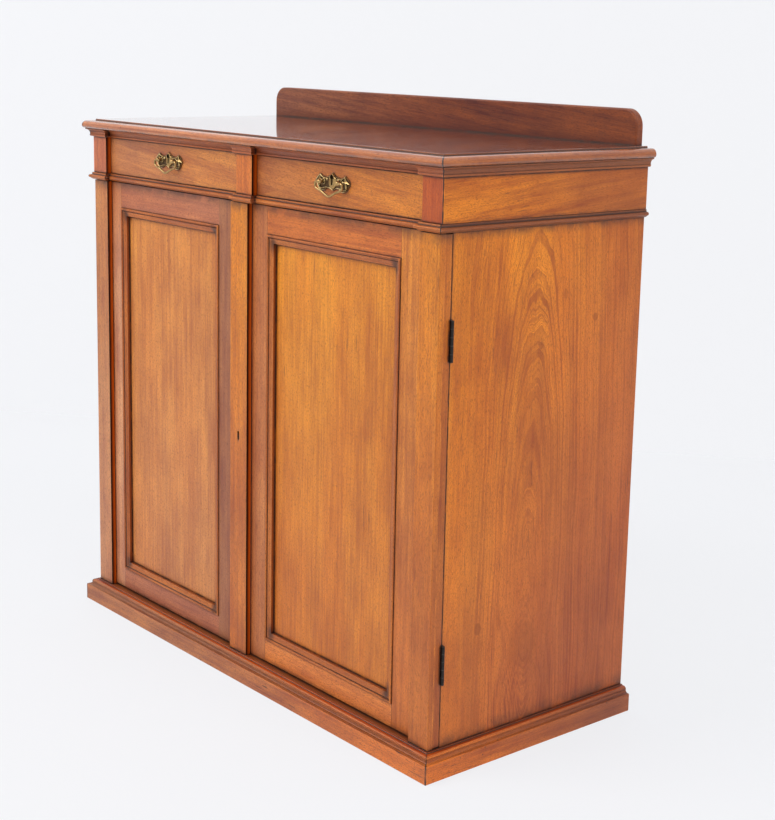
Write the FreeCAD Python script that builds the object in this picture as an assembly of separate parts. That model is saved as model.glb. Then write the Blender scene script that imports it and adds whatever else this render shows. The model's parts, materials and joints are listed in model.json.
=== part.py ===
import FreeCAD, Part
import math
import os

Vector = FreeCAD.Vector

# A low cupboard with two frieze drawers over two framed doors.
# Millimetres, +Z up, front towards -Y. Pieces are drawn with y = 0 on the pilasters' face
# and moved at the end, so that the origin is the middle of the footprint.

# Heights, from the floor up
plinth_height = 42.5
plinth_face_height = 29.5
cupboard_height = 803.5
waist_height = 13.5
frieze_height = 68.5
cornice_height = 15.5
top_thickness = 17.5
gallery_height = 58.5

# Widths and depths of the case
case_width = 1000.0
case_depth = 442.0
plinth_projection = 20.0
top_overhang = 18.5
top_front_overhang = 16.5
top_step_height = 3.0
top_step_inset = 19.5
top_nose_height = 5.0
top_nose_return = 3.0
waist_projection = 9.0
cornice_projection = 11.5
cornice_bead_height = 4.4
cornice_fillet_height = 2.5
frieze_proud = 3.0
block_width = 46.0
block_depth = 32.0
mitre_depth = 12.0
gallery_thickness = 14.0
gallery_setback = 7.0
gallery_inset = 7.0
gallery_corner = 28.0
gallery_arris = 3.0

# Boards of the case
side_thickness = 18.0
frieze_side_thickness = 20.0
bottom_thickness = 18.0
base_rail_depth = 45.0
rail_thickness = 18.0
rail_depth = 70.0
top_rail_depth = 60.0
dust_thickness = 10.0
divider_thickness = 18.0
back_thickness = 10.0
back_rebate = 9.0
back_count = 6
back_board_gap = 0.5
back_lift = 12.0
shelf_thickness = 16.0
shelf_clear_height = 390.0
shelf_setback = 30.0
shelf_play = 1.0
bearer_width = 16.0
bearer_height = 20.0
bearer_setback = 10.0
glue_block = 30.0
glue_block_lift = 4.5

# Doors
pilaster_thickness = 10.0
pilaster_width = 46.0
centre_pilaster_width = 50.0
door_thickness = 14.0
door_back_gap = 0.5
door_foot_gap = 2.0
door_head_gap = 1.0
pilaster_foot_gap = 0.8
meeting_x = 11.5
meeting_gap = 1.5
left_hinge_stile = 81.0
left_meeting_stile = 100.0
right_meeting_stile = 43.0
right_hinge_stile = 99.0
door_top_rail = 47.0
door_bottom_rail = 39.5
panel_recess = 8.5
panel_tongue = 6.0
panel_moulding_width = 15.0
panel_moulding_proud = 2.8
panel_moulding_step = 6.5
moulding_quirk = 1.0
tenon_thickness = 5.0
tenon_setback = 2.0
tenon_length = 28.0
tenon_shoulder = 8.0

# Butt hinges
hinge_length = 63.5
hinge_leaf_thickness = 1.8
hinge_leaf_width = 16.0
hinge_knuckle_radius = 2.7
hinge_knuckles = 5
hinge_knuckle_gap = 0.3
hinge_pin_radius = 1.5
hinge_pin_clearance = 0.05
hinge_pin_offset = 3.5
hinge_upper_drop = 161.0
hinge_lower_rise = 136.0

# Drawers
drawer_gap = 1.0
drawer_slide_gap = 0.3
drawer_front_thickness = 20.0
drawer_side_thickness = 10.0
drawer_side_height = 60.0
drawer_rear_gap = 34.0
drawer_back_thickness = 10.0
drawer_back_drop = 4.0
drawer_bottom_thickness = 6.0
drawer_bottom_rise = 8.2
drawer_groove = 5.0
drawer_bottom_tail = 8.0
tail_count = 3
tail_length = 13.0
tail_end = 13.0
tail_root = 9.0
guide_height = 15.0
guide_back_gap = 12.0
kicker_cover = 14.0
stop_size = 30.0
stop_length = 17.5
stop_height = 6.0
stop_spread = 110.0
stop_gap = 0.5

# Locks, bolts and keyholes
keyhole_radius = 2.6
keyhole_slot = 3.2
keyhole_drop = 13.5
lock_plate = 1.6
lock_depth = 11.0
lock_wall = 1.5
lock_plate_margin = 4.0
lock_bolt_thickness = 6.0
lock_bolt_clearance = 0.3
mortise_play = 0.8
mortise_spare = 2.0
door_lock_backset = 25.0
door_lock_height = 402.0
door_lock_length = 40.0
door_lock_half_width = 22.0
door_lock_bolt_low = 7.0
door_lock_bolt_high = 17.0
door_lock_bolt_length = 30.0
door_lock_throw = 8.0
drawer_lock_backset = 20.0
drawer_lock_length = 38.0
drawer_lock_half_width = 20.0
drawer_lock_bolt_half = 7.0
drawer_lock_bolt_length = 13.0
drawer_lock_throw = 7.0
slide_bolt_inset = 20.0
slide_bolt_plate_width = 20.0
slide_bolt_plate_length = 68.0
slide_bolt_plate_thickness = 1.5
slide_bolt_end_gap = 3.5
slide_bolt_width = 6.0
slide_bolt_thickness = 4.0
slide_bolt_length = 48.0
slide_bolt_throw = 9.0
slide_bolt_clearance = 0.3
slide_bolt_knob_radius = 3.0
slide_bolt_knob_length = 8.0
staple_thickness = 2.0
staple_length = 6.0

# Drop handles
handle_offset = -7.5
handle_key_rise = 8.4
handle_plate_thickness = 2.0
handle_standoff = 10.0
post_spacing = 46.8
post_radius = 2.4
post_ball_radius = 4.0
post_bolt_radius = 2.0
post_bolt_spare = 5.0
nut_radius = 4.6
nut_thickness = 4.0
bail_radius = 1.75
bail_clearance = 0.08
bail_stub_inset = 4.9
bail_shoulder = 10.6
bail_drop = 21.9
bail_shoulder_drop = 8.8
bail_waist_inset = 3.4
bail_waist_drop = 12.2
bail_bends = (4.0, 4.5, 12.0, 10.0)

# Places worked out from the sizes above
half = case_width / 2
z_plinth = plinth_height
z_waist = z_plinth + cupboard_height
z_frieze = z_waist + waist_height
z_cornice = z_frieze + frieze_height
z_top = z_cornice + cornice_height
z_field = z_top + top_thickness
z_floor = z_plinth + bottom_thickness
y_recess = pilaster_thickness
y_door_back = y_recess + door_thickness
y_case = y_door_back + door_back_gap
y_back = case_depth - back_thickness
x_inner = half - side_thickness
x_frieze = half + frieze_proud
x_frieze_inner = x_frieze - frieze_side_thickness
x_open_outer = x_frieze - block_width
x_open_inner = block_width / 2
x_back = half - back_rebate
x_left_meet = meeting_x - meeting_gap / 2
x_right_meet = meeting_x + meeting_gap / 2
z_door_low = z_plinth + door_foot_gap
z_door_high = z_waist - door_head_gap
z_open_low = z_door_low + door_bottom_rail
z_open_high = z_door_high - door_top_rail
y_panel = y_recess + panel_recess
y_hinge = y_door_back + door_back_gap / 2
y_centre = (case_depth - plinth_projection) / 2

nodes = {}


def box(x0, x1, y0, y1, z0, z1):
    low = Vector(min(x0, x1), min(y0, y1), min(z0, z1))
    size = Vector(abs(x1 - x0), abs(y1 - y0), abs(z1 - z0))
    return Part.makeBox(size.x, size.y, size.z, low)


def rod(radius, start, end):
    run = end - start
    return Part.makeCylinder(radius, run.Length, start, run)


def prism(points, run):
    corners = points + [points[0]]
    return Part.Face(Part.makePolygon(corners)).extrude(run)


def joined(shapes):
    whole = shapes[0]
    for shape in shapes[1:]:
        whole = whole.fuse(shape)
    return whole.removeSplitter()


def without(shape, cutters):
    for cutter in cutters:
        shape = shape.cut(cutter)
    return shape.removeSplitter()


def outline_face(outline, place):
    # An outline is a first point, then points for straight runs or (middle, end) pairs for arcs.
    edges = []
    here = outline[0]
    for step in outline[1:] + [outline[0]]:
        if isinstance(step[0], tuple):
            middle, end = step
            edges.append(Part.Arc(place(*here), place(*middle), place(*end)).toShape())
            here = end
        elif step != here:
            edges.append(Part.makeLine(place(*here), place(*step)))
            here = step
    return Part.Face(Part.Wire(edges))


def outline_limits(outline):
    points = []
    for step in outline:
        points.extend(step if isinstance(step[0], tuple) else [step])
    return points


def mitred_runs(path, outline, place, closed=False):
    # Straight lengths of one moulding along a path, mitred where they meet.
    # The outline's first value stands out to the right of the path, its second rises from it.
    points = outline_limits(outline)
    u_low = min(u for u, v in points)
    u_high = max(u for u, v in points)
    v_low = min(v for u, v in points)
    v_high = max(v for u, v in points)
    count = len(path) if closed else len(path) - 1
    ways = []
    for i in range(count):
        a = path[i]
        b = path[(i + 1) % len(path)]
        length = math.hypot(b[0] - a[0], b[1] - a[1])
        ways.append(((b[0] - a[0]) / length, (b[1] - a[1]) / length, length))

    def corner(before, after):
        n0 = (before[1], -before[0])
        n1 = (after[1], -after[0])
        scale = 1 + n0[0] * n1[0] + n0[1] * n1[1]
        return ((n0[0] + n1[0]) / scale, (n0[1] + n1[1]) / scale)

    runs = []
    for i in range(count):
        dx, dy, length = ways[i]
        a = path[i]
        b = path[(i + 1) % len(path)]
        first = ways[i - 1] if closed or i > 0 else ways[i]
        last = ways[(i + 1) % count] if closed or i < count - 1 else ways[i]
        m0 = corner(first, ways[i])
        m1 = corner(ways[i], last)
        reach = u_high - u_low
        start = (a[0] - dx * reach, a[1] - dy * reach)

        def at(u, v):
            return place(start[0] + dy * u, start[1] - dx * u, v)

        travel = length + 2 * reach
        run = place(dx * travel, dy * travel, 0) - place(0, 0, 0)
        bar = outline_face(outline, at).extrude(run)
        ends = [(a, m0, u_low), (b, m1, u_low), (b, m1, u_high), (a, m0, u_high)]
        plan = [place(p[0] + m[0] * u, p[1] + m[1] * u, v_low) for p, m, u in ends]
        runs.append(bar.common(prism(plan, place(0, 0, v_high) - place(0, 0, v_low))))
    return runs


def on_level(z):
    return lambda x, y, v: Vector(x, y, z + v)


def keyhole(x, z, y0, y1):
    hole = rod(keyhole_radius, Vector(x, y0, z), Vector(x, y1, z))
    slot = box(x - keyhole_slot / 2, x + keyhole_slot / 2, y0, y1, z - keyhole_drop, z)
    return hole.fuse(slot)


def mirrored(shape):
    return shape.mirror(Vector(0, 0, 0), Vector(1, 0, 0))


def group(shapes):
    solids = []
    for shape in shapes:
        solids.extend(shape.Solids)
    return Part.makeCompound(solids)


def front_path(outer):
    # Plan of the front: forward over the three blocks, set back over the drawers.
    return [
        (-outer, case_depth),
        (-outer, 0),
        (-x_open_outer, 0),
        (-x_open_outer, y_recess),
        (-x_open_inner, y_recess),
        (-x_open_inner, 0),
        (x_open_inner, 0),
        (x_open_inner, y_recess),
        (x_open_outer, y_recess),
        (x_open_outer, 0),
        (outer, 0),
        (outer, case_depth),
    ]


def plain_path(outer):
    return [(-outer, case_depth), (-outer, 0), (outer, 0), (outer, case_depth)]


def plinth():
    p = plinth_projection
    rise = plinth_height - plinth_face_height
    f = plinth_face_height
    outline = [
        (0, 0),
        (p, 0),
        (p, f),
        (0.93 * p, f + 0.07 * rise),
        ((0.7 * p, f + 0.14 * rise), (0.6 * p, f + 0.4 * rise)),
        ((0.55 * p, f + 0.74 * rise), (0.36 * p, f + 0.88 * rise)),
        (0.17 * p, f + 0.88 * rise),
        (0.17 * p, f + rise),
        (0, f + rise),
    ]
    left, front, right = mitred_runs(plain_path(half), outline, on_level(0))
    nodes["plinth_front"] = front
    nodes["plinth_sides"] = group([left, right])
    nodes["plinth_back"] = box(-x_inner, x_inner, y_back - plinth_projection, y_back, 0, z_plinth)
    lip = box(-half, half, 0, y_case, 0, z_plinth)
    web = box(-x_inner, x_inner, y_case, base_rail_depth, 0, z_plinth)
    nodes["base_rail"] = joined([lip, web])
    blocks = []
    for wall, way in ((base_rail_depth, 1), (y_back - plinth_projection, -1)):
        for side in (-1, 1):
            corner = Vector(side * x_inner, wall, glue_block_lift)
            along = corner - Vector(side * glue_block, 0, 0)
            deep = corner + Vector(0, way * glue_block, 0)
            blocks.append(prism([corner, along, deep], Vector(0, 0, z_plinth - glue_block_lift)))
    nodes["glue_blocks"] = group(blocks)


def hinge_levels():
    return (z_plinth + hinge_lower_rise, z_waist - hinge_upper_drop)


def hinge_pin_x():
    return half + hinge_pin_offset


def hinge_leaf(z, y0, y1, own):
    # One leaf on the right-hand side, with the knuckles whose numbers are in own.
    x_pin = hinge_pin_x()
    low = z - hinge_length / 2
    pitch = hinge_length / hinge_knuckles
    solid = box(half - hinge_leaf_width, half, y0, y1, low, low + hinge_length)
    for i in own:
        z0 = low + i * pitch + hinge_knuckle_gap / 2
        z1 = low + (i + 1) * pitch - hinge_knuckle_gap / 2
        tab = box(half, x_pin, y0, y1, z0, z1)
        knuckle = rod(hinge_knuckle_radius, Vector(x_pin, y_hinge, z0), Vector(x_pin, y_hinge, z1))
        solid = solid.fuse(tab).fuse(knuckle)
    bore_radius = hinge_pin_radius + hinge_pin_clearance
    bore = rod(bore_radius, Vector(x_pin, y_hinge, low), Vector(x_pin, y_hinge, low + hinge_length))
    return without(solid, [bore])


def hinges():
    door_own = range(0, hinge_knuckles, 2)
    case_own = range(1, hinge_knuckles, 2)
    door = []
    case = []
    pins = []
    for z in hinge_levels():
        door.append(hinge_leaf(z, y_door_back - hinge_leaf_thickness, y_door_back, door_own))
        case.append(hinge_leaf(z, y_case, y_case + hinge_leaf_thickness, case_own))
        low = Vector(hinge_pin_x(), y_hinge, z - hinge_length / 2)
        pins.append(rod(hinge_pin_radius, low, low + Vector(0, 0, hinge_length)))
    nodes["right_hinge_leaves"] = group(door)
    nodes["left_hinge_leaves"] = group([mirrored(leaf) for leaf in door])
    nodes["case_hinge_leaves"] = group(case + [mirrored(leaf) for leaf in case])
    nodes["hinge_pins"] = group(pins + [mirrored(pin) for pin in pins])


def leaf_recesses(y0, y1):
    cuts = []
    for z in hinge_levels():
        cuts.append(box(half - hinge_leaf_width, half, y0, y1, z - hinge_length / 2, z + hinge_length / 2))
    return cuts


def case_boards():
    recess = leaf_recesses(y_case, y_case + hinge_leaf_thickness)
    rebate = box(x_inner, x_back, y_back, case_depth, 0, z_top)
    side = without(box(x_inner, half, y_case, case_depth, 0, z_frieze), recess + [rebate])
    nodes["side_right"] = side
    nodes["side_left"] = mirrored(side)
    bottom = box(-x_inner, x_inner, y_case, y_back, z_plinth, z_floor)
    nodes["bottom_board"] = without(bottom, [slide_bolt_mortise(z_floor, -1)])
    width = (2 * x_back - back_board_gap * (back_count - 1)) / back_count
    planks = []
    for i in range(back_count):
        x = -x_back + i * (width + back_board_gap)
        planks.append(box(x, x + width, y_back, case_depth, back_lift, z_top))
    nodes["back_boards"] = group(planks)
    z_shelf = z_floor + shelf_clear_height
    x_shelf = x_inner - shelf_play
    y_shelf = y_case + shelf_setback
    nodes["shelf"] = box(-x_shelf, x_shelf, y_shelf, y_back, z_shelf, z_shelf + shelf_thickness)
    y_bearer = y_shelf + bearer_setback
    bearer = box(x_inner - bearer_width, x_inner, y_bearer, y_back, z_shelf - bearer_height, z_shelf)
    nodes["shelf_bearers"] = group([bearer, mirrored(bearer)])


def frieze():
    lip = box(-half, half, y_recess, y_case, z_waist, z_frieze)
    web = box(-x_inner, x_inner, y_case, rail_depth, z_frieze - rail_thickness, z_frieze)
    tongues = [box(-x_open_inner, x_open_inner, 0, y_recess, z_waist, z_frieze)]
    for side in (-1, 1):
        tongues.append(box(side * x_open_outer, side * half, 0, y_recess, z_waist, z_frieze))
    mortise = slide_bolt_mortise(z_frieze - rail_thickness, 1)
    nodes["drawer_rail"] = without(joined([lip, web] + tongues), [mortise])
    nodes["dust_board"] = box(-x_inner, x_inner, rail_depth, y_back, z_frieze - dust_thickness, z_frieze)
    behind = box(-x_frieze_inner, x_frieze_inner, block_depth, top_rail_depth, z_cornice, z_top)
    ahead = box(-x_open_outer, x_open_outer, y_recess, block_depth, z_cornice, z_top)
    notch = box(-x_open_inner, x_open_inner, y_recess, block_depth, z_cornice, z_top)
    rail = joined([behind, ahead.cut(notch)])
    nodes["top_rail"] = without(rail, [drawer_lock_mortise(side) for side in (-1, 1)])
    web_x = divider_thickness / 2
    low = box(-web_x, web_x, block_depth, y_back, z_frieze, z_cornice)
    high = box(-web_x, web_x, top_rail_depth, y_back, z_cornice, z_top)
    nodes["drawer_divider"] = joined([low, high])
    up = Vector(0, 0, z_top - z_frieze)
    x_mitre = x_frieze - mitre_depth
    plan = [(x_open_outer, 0), (x_frieze, 0), (x_mitre, mitre_depth), (x_mitre, block_depth),
            (x_open_outer, block_depth)]
    block = prism([Vector(x, y, z_frieze) for x, y in plan], up)
    middle = box(-x_open_inner, x_open_inner, 0, block_depth, z_frieze, z_top)
    nodes["frieze_blocks"] = group([mirrored(block), middle, block])
    plan = [(x_frieze, 0), (x_frieze, case_depth), (x_frieze_inner, case_depth),
            (x_frieze_inner, block_depth), (x_mitre, block_depth), (x_mitre, mitre_depth)]
    board = prism([Vector(x, y, z_frieze) for x, y in plan], up)
    board = without(board, [box(x_frieze_inner, x_back, y_back, case_depth, z_frieze, z_top)])
    nodes["frieze_sides"] = group([mirrored(board), board])
    drawer_guides()


def drawer_guides():
    y_end = y_back - guide_back_gap
    web_x = divider_thickness / 2
    strips = []
    for side in (-1, 1):
        for wall, edge, way in ((x_frieze_inner, x_open_outer, -1), (web_x, x_open_inner, 1)):
            z_guide = z_frieze + guide_height
            strips.append(box(side * wall, side * edge, block_depth, y_end, z_frieze, z_guide))
            cover = edge + way * kicker_cover
            strips.append(box(side * wall, side * cover, top_rail_depth, y_end, z_cornice, z_top))
        y_stop = y_recess + drawer_front_thickness + stop_gap
        for spread in (-stop_spread, stop_spread):
            x = drawer_centre(side) + spread
            strips.append(box(x - stop_size / 2, x + stop_size / 2, y_stop, y_stop + stop_length,
                              z_frieze, z_frieze + stop_height))
    nodes["drawer_guides"] = group(strips)


def mouldings():
    p = waist_projection
    h = waist_height
    outline = [
        (0, 0),
        ((0.34 * p, 0.06 * h), (0.6 * p, 0.2 * h)),
        (0.72 * p, 0.24 * h),
        ((p, 0.45 * h), (0.74 * p, 0.67 * h)),
        (0.42 * p, 0.7 * h),
        (0.42 * p, h),
        (0, h),
    ]
    nodes["waist_moulding"] = group(mitred_runs(front_path(half), outline, on_level(z_waist)))
    p = cornice_projection
    h = cornice_height
    bead = cornice_bead_height
    fillet = h - cornice_fillet_height
    cove = fillet - bead
    outline = [
        (0, 0),
        (0.26 * p, 0),
        ((0.46 * p, 0.45 * bead), (0.4 * p, bead)),
        (0.43 * p, bead + 0.05 * cove),
        ((0.56 * p, bead + 0.68 * cove), (0.94 * p, fillet)),
        (p, fillet),
        (p, h),
        (0, h),
    ]
    nodes["cornice_moulding"] = group(mitred_runs(front_path(x_frieze), outline, on_level(z_cornice)))


def top():
    t = top_thickness
    reach = top_overhang
    field = reach - top_step_inset
    shelf_level = t - top_step_height
    wide = top_nose_height
    upper = shelf_level - wide
    diagonal = upper * math.sqrt(0.5)
    lower = (top_nose_return ** 2 + wide ** 2) / (2 * top_nose_return)
    turn = math.asin(wide / lower) / 2
    under = (reach - lower + lower * math.cos(turn), wide - lower * math.sin(turn))
    spare = top_overhang / 2
    waste = [
        (field, t + spare),
        (field, shelf_level),
        (reach - upper, shelf_level),
        ((reach - upper + diagonal, wide + diagonal), (reach, wide)),
        (under, (reach - top_nose_return, 0)),
        (reach - top_nose_return, -spare),
        (reach + spare, -spare),
        (reach + spare, t + spare),
    ]
    blank_reach = reach + spare / 2
    ahead = top_overhang - top_front_overhang
    blank = box(-half - blank_reach, half + blank_reach, ahead - blank_reach, case_depth, z_top, z_field)
    path = [(-half, case_depth + spare), (-half, ahead), (half, ahead), (half, case_depth + spare)]
    nodes["top_board"] = without(blank, mitred_runs(path, waste, on_level(z_top)))
    x = half - gallery_inset
    y_rear = case_depth - gallery_setback
    board = box(-x, x, y_rear - gallery_thickness, y_rear, z_field, z_field + gallery_height)
    corners = []
    for edge in board.Edges:
        middle = edge.BoundBox.Center
        across = edge.BoundBox.YLength > gallery_thickness / 2
        if across and middle.z > z_field + gallery_height / 2:
            corners.append(edge)
    board = board.makeFillet(gallery_corner, corners)
    arris = []
    for edge in board.Edges:
        on_face = edge.BoundBox.YMax < y_rear - gallery_thickness / 2
        above = edge.BoundBox.ZMax > z_field + gallery_arris
        if on_face and above:
            arris.append(edge)
    nodes["gallery_board"] = board.makeFillet(gallery_arris, arris)


def door(name, x_hinge, x_meet, hinge_stile, meeting_stile):
    side = 1 if x_hinge > 0 else -1
    x_h = x_hinge - side * hinge_stile
    x_m = x_meet + side * meeting_stile
    opening = box(x_h + side * panel_tongue, x_m - side * panel_tongue, y_panel, y_door_back,
                  z_open_low - panel_tongue, z_open_high + panel_tongue)
    recess = leaf_recesses(y_door_back - hinge_leaf_thickness, y_door_back)
    if side < 0:
        recess = [mirrored(cut) for cut in recess]
    tenons = []
    y_tenon = y_recess + tenon_setback
    bars = {"bottom_rail": (z_door_low, z_open_low), "top_rail": (z_open_high, z_door_high)}
    for part, (z0, z1) in bars.items():
        tenon = box(x_h + side * tenon_length, x_m - side * tenon_length, y_tenon, y_tenon + tenon_thickness,
                    z0 + tenon_shoulder, z1 - tenon_shoulder)
        bar = box(x_h, x_m, y_recess, y_door_back, z0, z1)
        nodes[name + "_" + part] = without(joined([bar, tenon]), [opening])
        tenons.append(tenon)
    cuts = tenons + [opening]
    stile = box(x_hinge, x_h, y_recess, y_door_back, z_door_low, z_door_high)
    nodes[name + "_hinge_stile"] = without(stile, cuts + recess)
    stile = box(x_meet, x_m, y_recess, y_door_back, z_door_low, z_door_high)
    nodes[name + "_meeting_stile"] = without(stile, cuts)
    nodes[name + "_panel"] = opening
    nodes[name + "_panel_moulding"] = panel_moulding(min(x_h, x_m), max(x_h, x_m))
    nodes[name + "_pilaster"] = pilaster(x_hinge, x_hinge - side * pilaster_width)


def pilaster(x0, x1):
    return box(x0, x1, 0, y_recess, z_plinth + pilaster_foot_gap, z_door_high)


def panel_moulding(x0, x1):
    w = panel_moulding_width
    high = panel_recess + panel_moulding_proud
    step = panel_moulding_step
    bead = 0.35 * w
    shoulder = high - 0.75 * panel_moulding_proud
    floor = shoulder - moulding_quirk
    outline = [
        (0, 0),
        (0, shoulder),
        ((0.5 * bead, high), (bead, shoulder)),
        (bead, floor),
        (bead + moulding_quirk, floor),
        (bead + moulding_quirk, shoulder - 0.3 * moulding_quirk),
        ((0.6 * w, 0.52 * shoulder + 0.48 * step), (0.8 * w, step)),
        (0.95 * w, step),
        ((0.988 * w, step - 0.24), (w, step - 0.9)),
        (w, 0),
    ]
    path = [(x0, z_open_low), (x0, z_open_high), (x1, z_open_high), (x1, z_open_low)]
    return group(mitred_runs(path, outline, lambda x, z, v: Vector(x, y_panel - v, z), closed=True))


def cut_lock(place, length, half_width, bolt_low, bolt_high, bolt_length):
    # A lock let into the back of a board: a runs along the throw up to the edge at 0,
    # b runs across from the key, c runs back from the lock's own face.
    def local(a0, a1, b0, b1, c0, c1):
        p = place(a0, b0, c0)
        q = place(a1, b1, c1)
        return box(p.x, q.x, p.y, q.y, p.z, q.z)

    wide = half_width + lock_plate_margin
    slack = (lock_depth - lock_bolt_thickness) / 2
    plate = local(-lock_plate, 0, -wide, wide, 0, lock_depth)
    case = local(-lock_plate - length, -lock_plate, -half_width, half_width, 0, lock_depth)
    hollow = local(-lock_plate - length + lock_wall, -lock_plate, -half_width + lock_wall,
                   half_width - lock_wall, lock_wall, lock_depth - lock_wall)
    g = lock_bolt_clearance
    slot = local(-lock_plate, 0, bolt_low - g, bolt_high + g, slack - g, lock_depth - slack + g)
    bolt = local(-bolt_length, 0, bolt_low, bolt_high, slack, lock_depth - slack)
    return joined([plate, case]), [hollow, slot], bolt


def door_key_z():
    return z_plinth + door_lock_height


def door_lock():
    z_key = door_key_z()
    x_key = x_left_meet - door_lock_backset
    y_lock = y_door_back - lock_depth

    def place(a, b, c):
        return Vector(x_left_meet + a, y_lock + c, z_key + b)

    shell, cuts, bolt = cut_lock(place, door_lock_length, door_lock_half_width, door_lock_bolt_low,
                                 door_lock_bolt_high, door_lock_bolt_length)
    nodes["door_lock"] = without(shell, cuts + [keyhole(x_key, z_key, y_lock, y_lock + lock_wall)])
    nodes["door_lock_bolt"] = bolt
    way_in = keyhole(x_key, z_key, 0, y_lock)
    nodes["left_meeting_stile"] = without(nodes["left_meeting_stile"], [shell, way_in])
    strip = pilaster(x_left_meet - centre_pilaster_width, x_left_meet)
    nodes["centre_pilaster"] = without(strip, [way_in])
    play = mortise_play
    reach = x_left_meet + door_lock_throw + mortise_spare
    slack = (lock_depth - lock_bolt_thickness) / 2
    mortise = box(x_right_meet, reach, y_lock + slack - play, y_door_back - slack + play,
                  z_key + door_lock_bolt_low - play, z_key + door_lock_bolt_high + play)
    nodes["right_meeting_stile"] = without(nodes["right_meeting_stile"], [mortise])


def slide_bolt_x():
    return x_right_meet + slide_bolt_inset


def slide_bolt_y():
    return y_door_back + slide_bolt_plate_thickness + slide_bolt_clearance


def slide_bolt_mortise(z, way):
    x = slide_bolt_x()
    wide = slide_bolt_width / 2 + mortise_play
    y0 = slide_bolt_y() - mortise_play
    y1 = slide_bolt_y() + slide_bolt_thickness + mortise_play
    deep = slide_bolt_throw - slide_bolt_end_gap + mortise_spare
    return box(x - wide, x + wide, y0, y1, z, z + way * deep)


def slide_bolts():
    x = slide_bolt_x()
    y_bar = slide_bolt_y()
    y_out = y_bar + slide_bolt_thickness
    g = slide_bolt_clearance
    wide = slide_bolt_plate_width / 2
    plates = []
    ends = {"top_bolt": (z_frieze - rail_thickness, 1), "bottom_bolt": (z_floor, -1)}
    for name, (z_stop, way) in ends.items():
        z_tip = z_stop - way * slide_bolt_end_gap
        z_tail = z_tip - way * slide_bolt_length
        z_plate = z_tip - way * slide_bolt_plate_length
        z_knob = z_tip - way * (slide_bolt_length / 2)
        bar = box(x - slide_bolt_width / 2, x + slide_bolt_width / 2, y_bar, y_out, z_tip, z_tail)
        knob = rod(slide_bolt_knob_radius, Vector(x, y_out, z_knob),
                   Vector(x, y_out + slide_bolt_knob_length, z_knob))
        nodes[name] = joined([bar, knob])
        plate = box(x - wide, x + wide, y_door_back, y_door_back + slide_bolt_plate_thickness, z_tip, z_plate)
        inner = slide_bolt_width / 2 + g
        outer = inner + staple_thickness
        for z_staple in (z_tip - way * staple_length, z_tail + way * 2 * staple_length):
            z_end = z_staple - way * staple_length
            arch = box(x - outer, x + outer, y_door_back + slide_bolt_plate_thickness,
                       y_out + g + staple_thickness, z_staple, z_end)
            gap = box(x - inner, x + inner, y_door_back + slide_bolt_plate_thickness,
                      y_out + g, z_staple, z_end)
            plate = plate.fuse(arch.cut(gap))
        plates.append(plate.removeSplitter())
    nodes["bolt_plates"] = group(plates)


def drawer_centre(side):
    return side * (x_open_outer + x_open_inner) / 2


def drawer_key(side):
    z_edge = z_cornice - drawer_gap
    return drawer_centre(side) + handle_offset, z_edge, z_edge - drawer_lock_backset


def drawer_lock_mortise(side):
    x_key, z_edge, z_key = drawer_key(side)
    slack = (lock_depth - lock_bolt_thickness) / 2
    y_lock = y_recess + drawer_front_thickness - lock_depth
    wide = drawer_lock_bolt_half + mortise_play
    reach = z_edge + drawer_lock_throw + mortise_spare
    return box(x_key - wide, x_key + wide, y_lock + slack - mortise_play,
               y_lock + lock_depth - slack + mortise_play, z_cornice, reach)


def drawer(name, side):
    x0 = drawer_centre(side) - (x_open_outer - x_open_inner) / 2 + drawer_gap
    x1 = drawer_centre(side) + (x_open_outer - x_open_inner) / 2 - drawer_gap
    x_key, z_edge, z_key = drawer_key(side)
    y_face = y_recess
    y_front = y_face + drawer_front_thickness
    y_end = y_back - drawer_rear_gap
    z_run = z_frieze + drawer_slide_gap
    z_panel = z_run + drawer_bottom_rise
    t = drawer_side_thickness
    tails = []
    sides = []
    for x_out, x_in in ((x0, x0 + t), (x1 - t, x1)):
        board = box(x_out, x_in, y_front, y_end, z_run, z_run + drawer_side_height)
        for i in range(tail_count):
            z = z_run + (i + 0.5) * drawer_side_height / tail_count
            profile = [(y_front, -tail_root), (y_front - tail_length, -tail_end),
                       (y_front - tail_length, tail_end), (y_front, tail_root)]
            tail = prism([Vector(x_out, y, z + wide / 2) for y, wide in profile], Vector(t, 0, 0))
            tails.append(tail)
            board = board.fuse(tail)
        sides.append(board.removeSplitter())
    panel = box(x0 + t - drawer_groove, x1 - t + drawer_groove, y_front - drawer_groove,
                y_end - drawer_bottom_tail, z_panel, z_panel + drawer_bottom_thickness)
    y_rear = y_end - drawer_bottom_tail - drawer_back_thickness
    z_rear = z_panel + drawer_bottom_thickness
    rear = box(x0 + t, x1 - t, y_rear, y_rear + drawer_back_thickness, z_rear,
               z_run + drawer_side_height - drawer_back_drop)
    nodes[name + "_bottom"] = panel
    nodes[name + "_sides_and_back"] = group([without(board, [panel]) for board in sides] + [rear])

    y_lock = y_front - lock_depth

    def place(a, b, c):
        return Vector(x_key + b, y_lock + c, z_edge + a)

    shell, cuts, bolt = cut_lock(place, drawer_lock_length, drawer_lock_half_width, -drawer_lock_bolt_half,
                                 drawer_lock_bolt_half, drawer_lock_bolt_length)
    nodes[name + "_lock"] = without(shell, cuts + [keyhole(x_key, z_key, y_lock, y_lock + lock_wall)])
    nodes[name + "_lock_bolt"] = bolt
    way_in = keyhole(x_key, z_key, y_face - handle_plate_thickness, y_lock)
    z_pivot = z_key - handle_key_rise
    holes = post_bolts(x_key, z_pivot, y_front)
    front = box(x0, x1, y_face, y_front, z_frieze + drawer_gap, z_edge)
    nodes[name + "_front"] = without(front, tails + [panel, shell, way_in] + holes)
    handle(name + "_handle", x_key, z_pivot, way_in, y_front)


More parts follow.
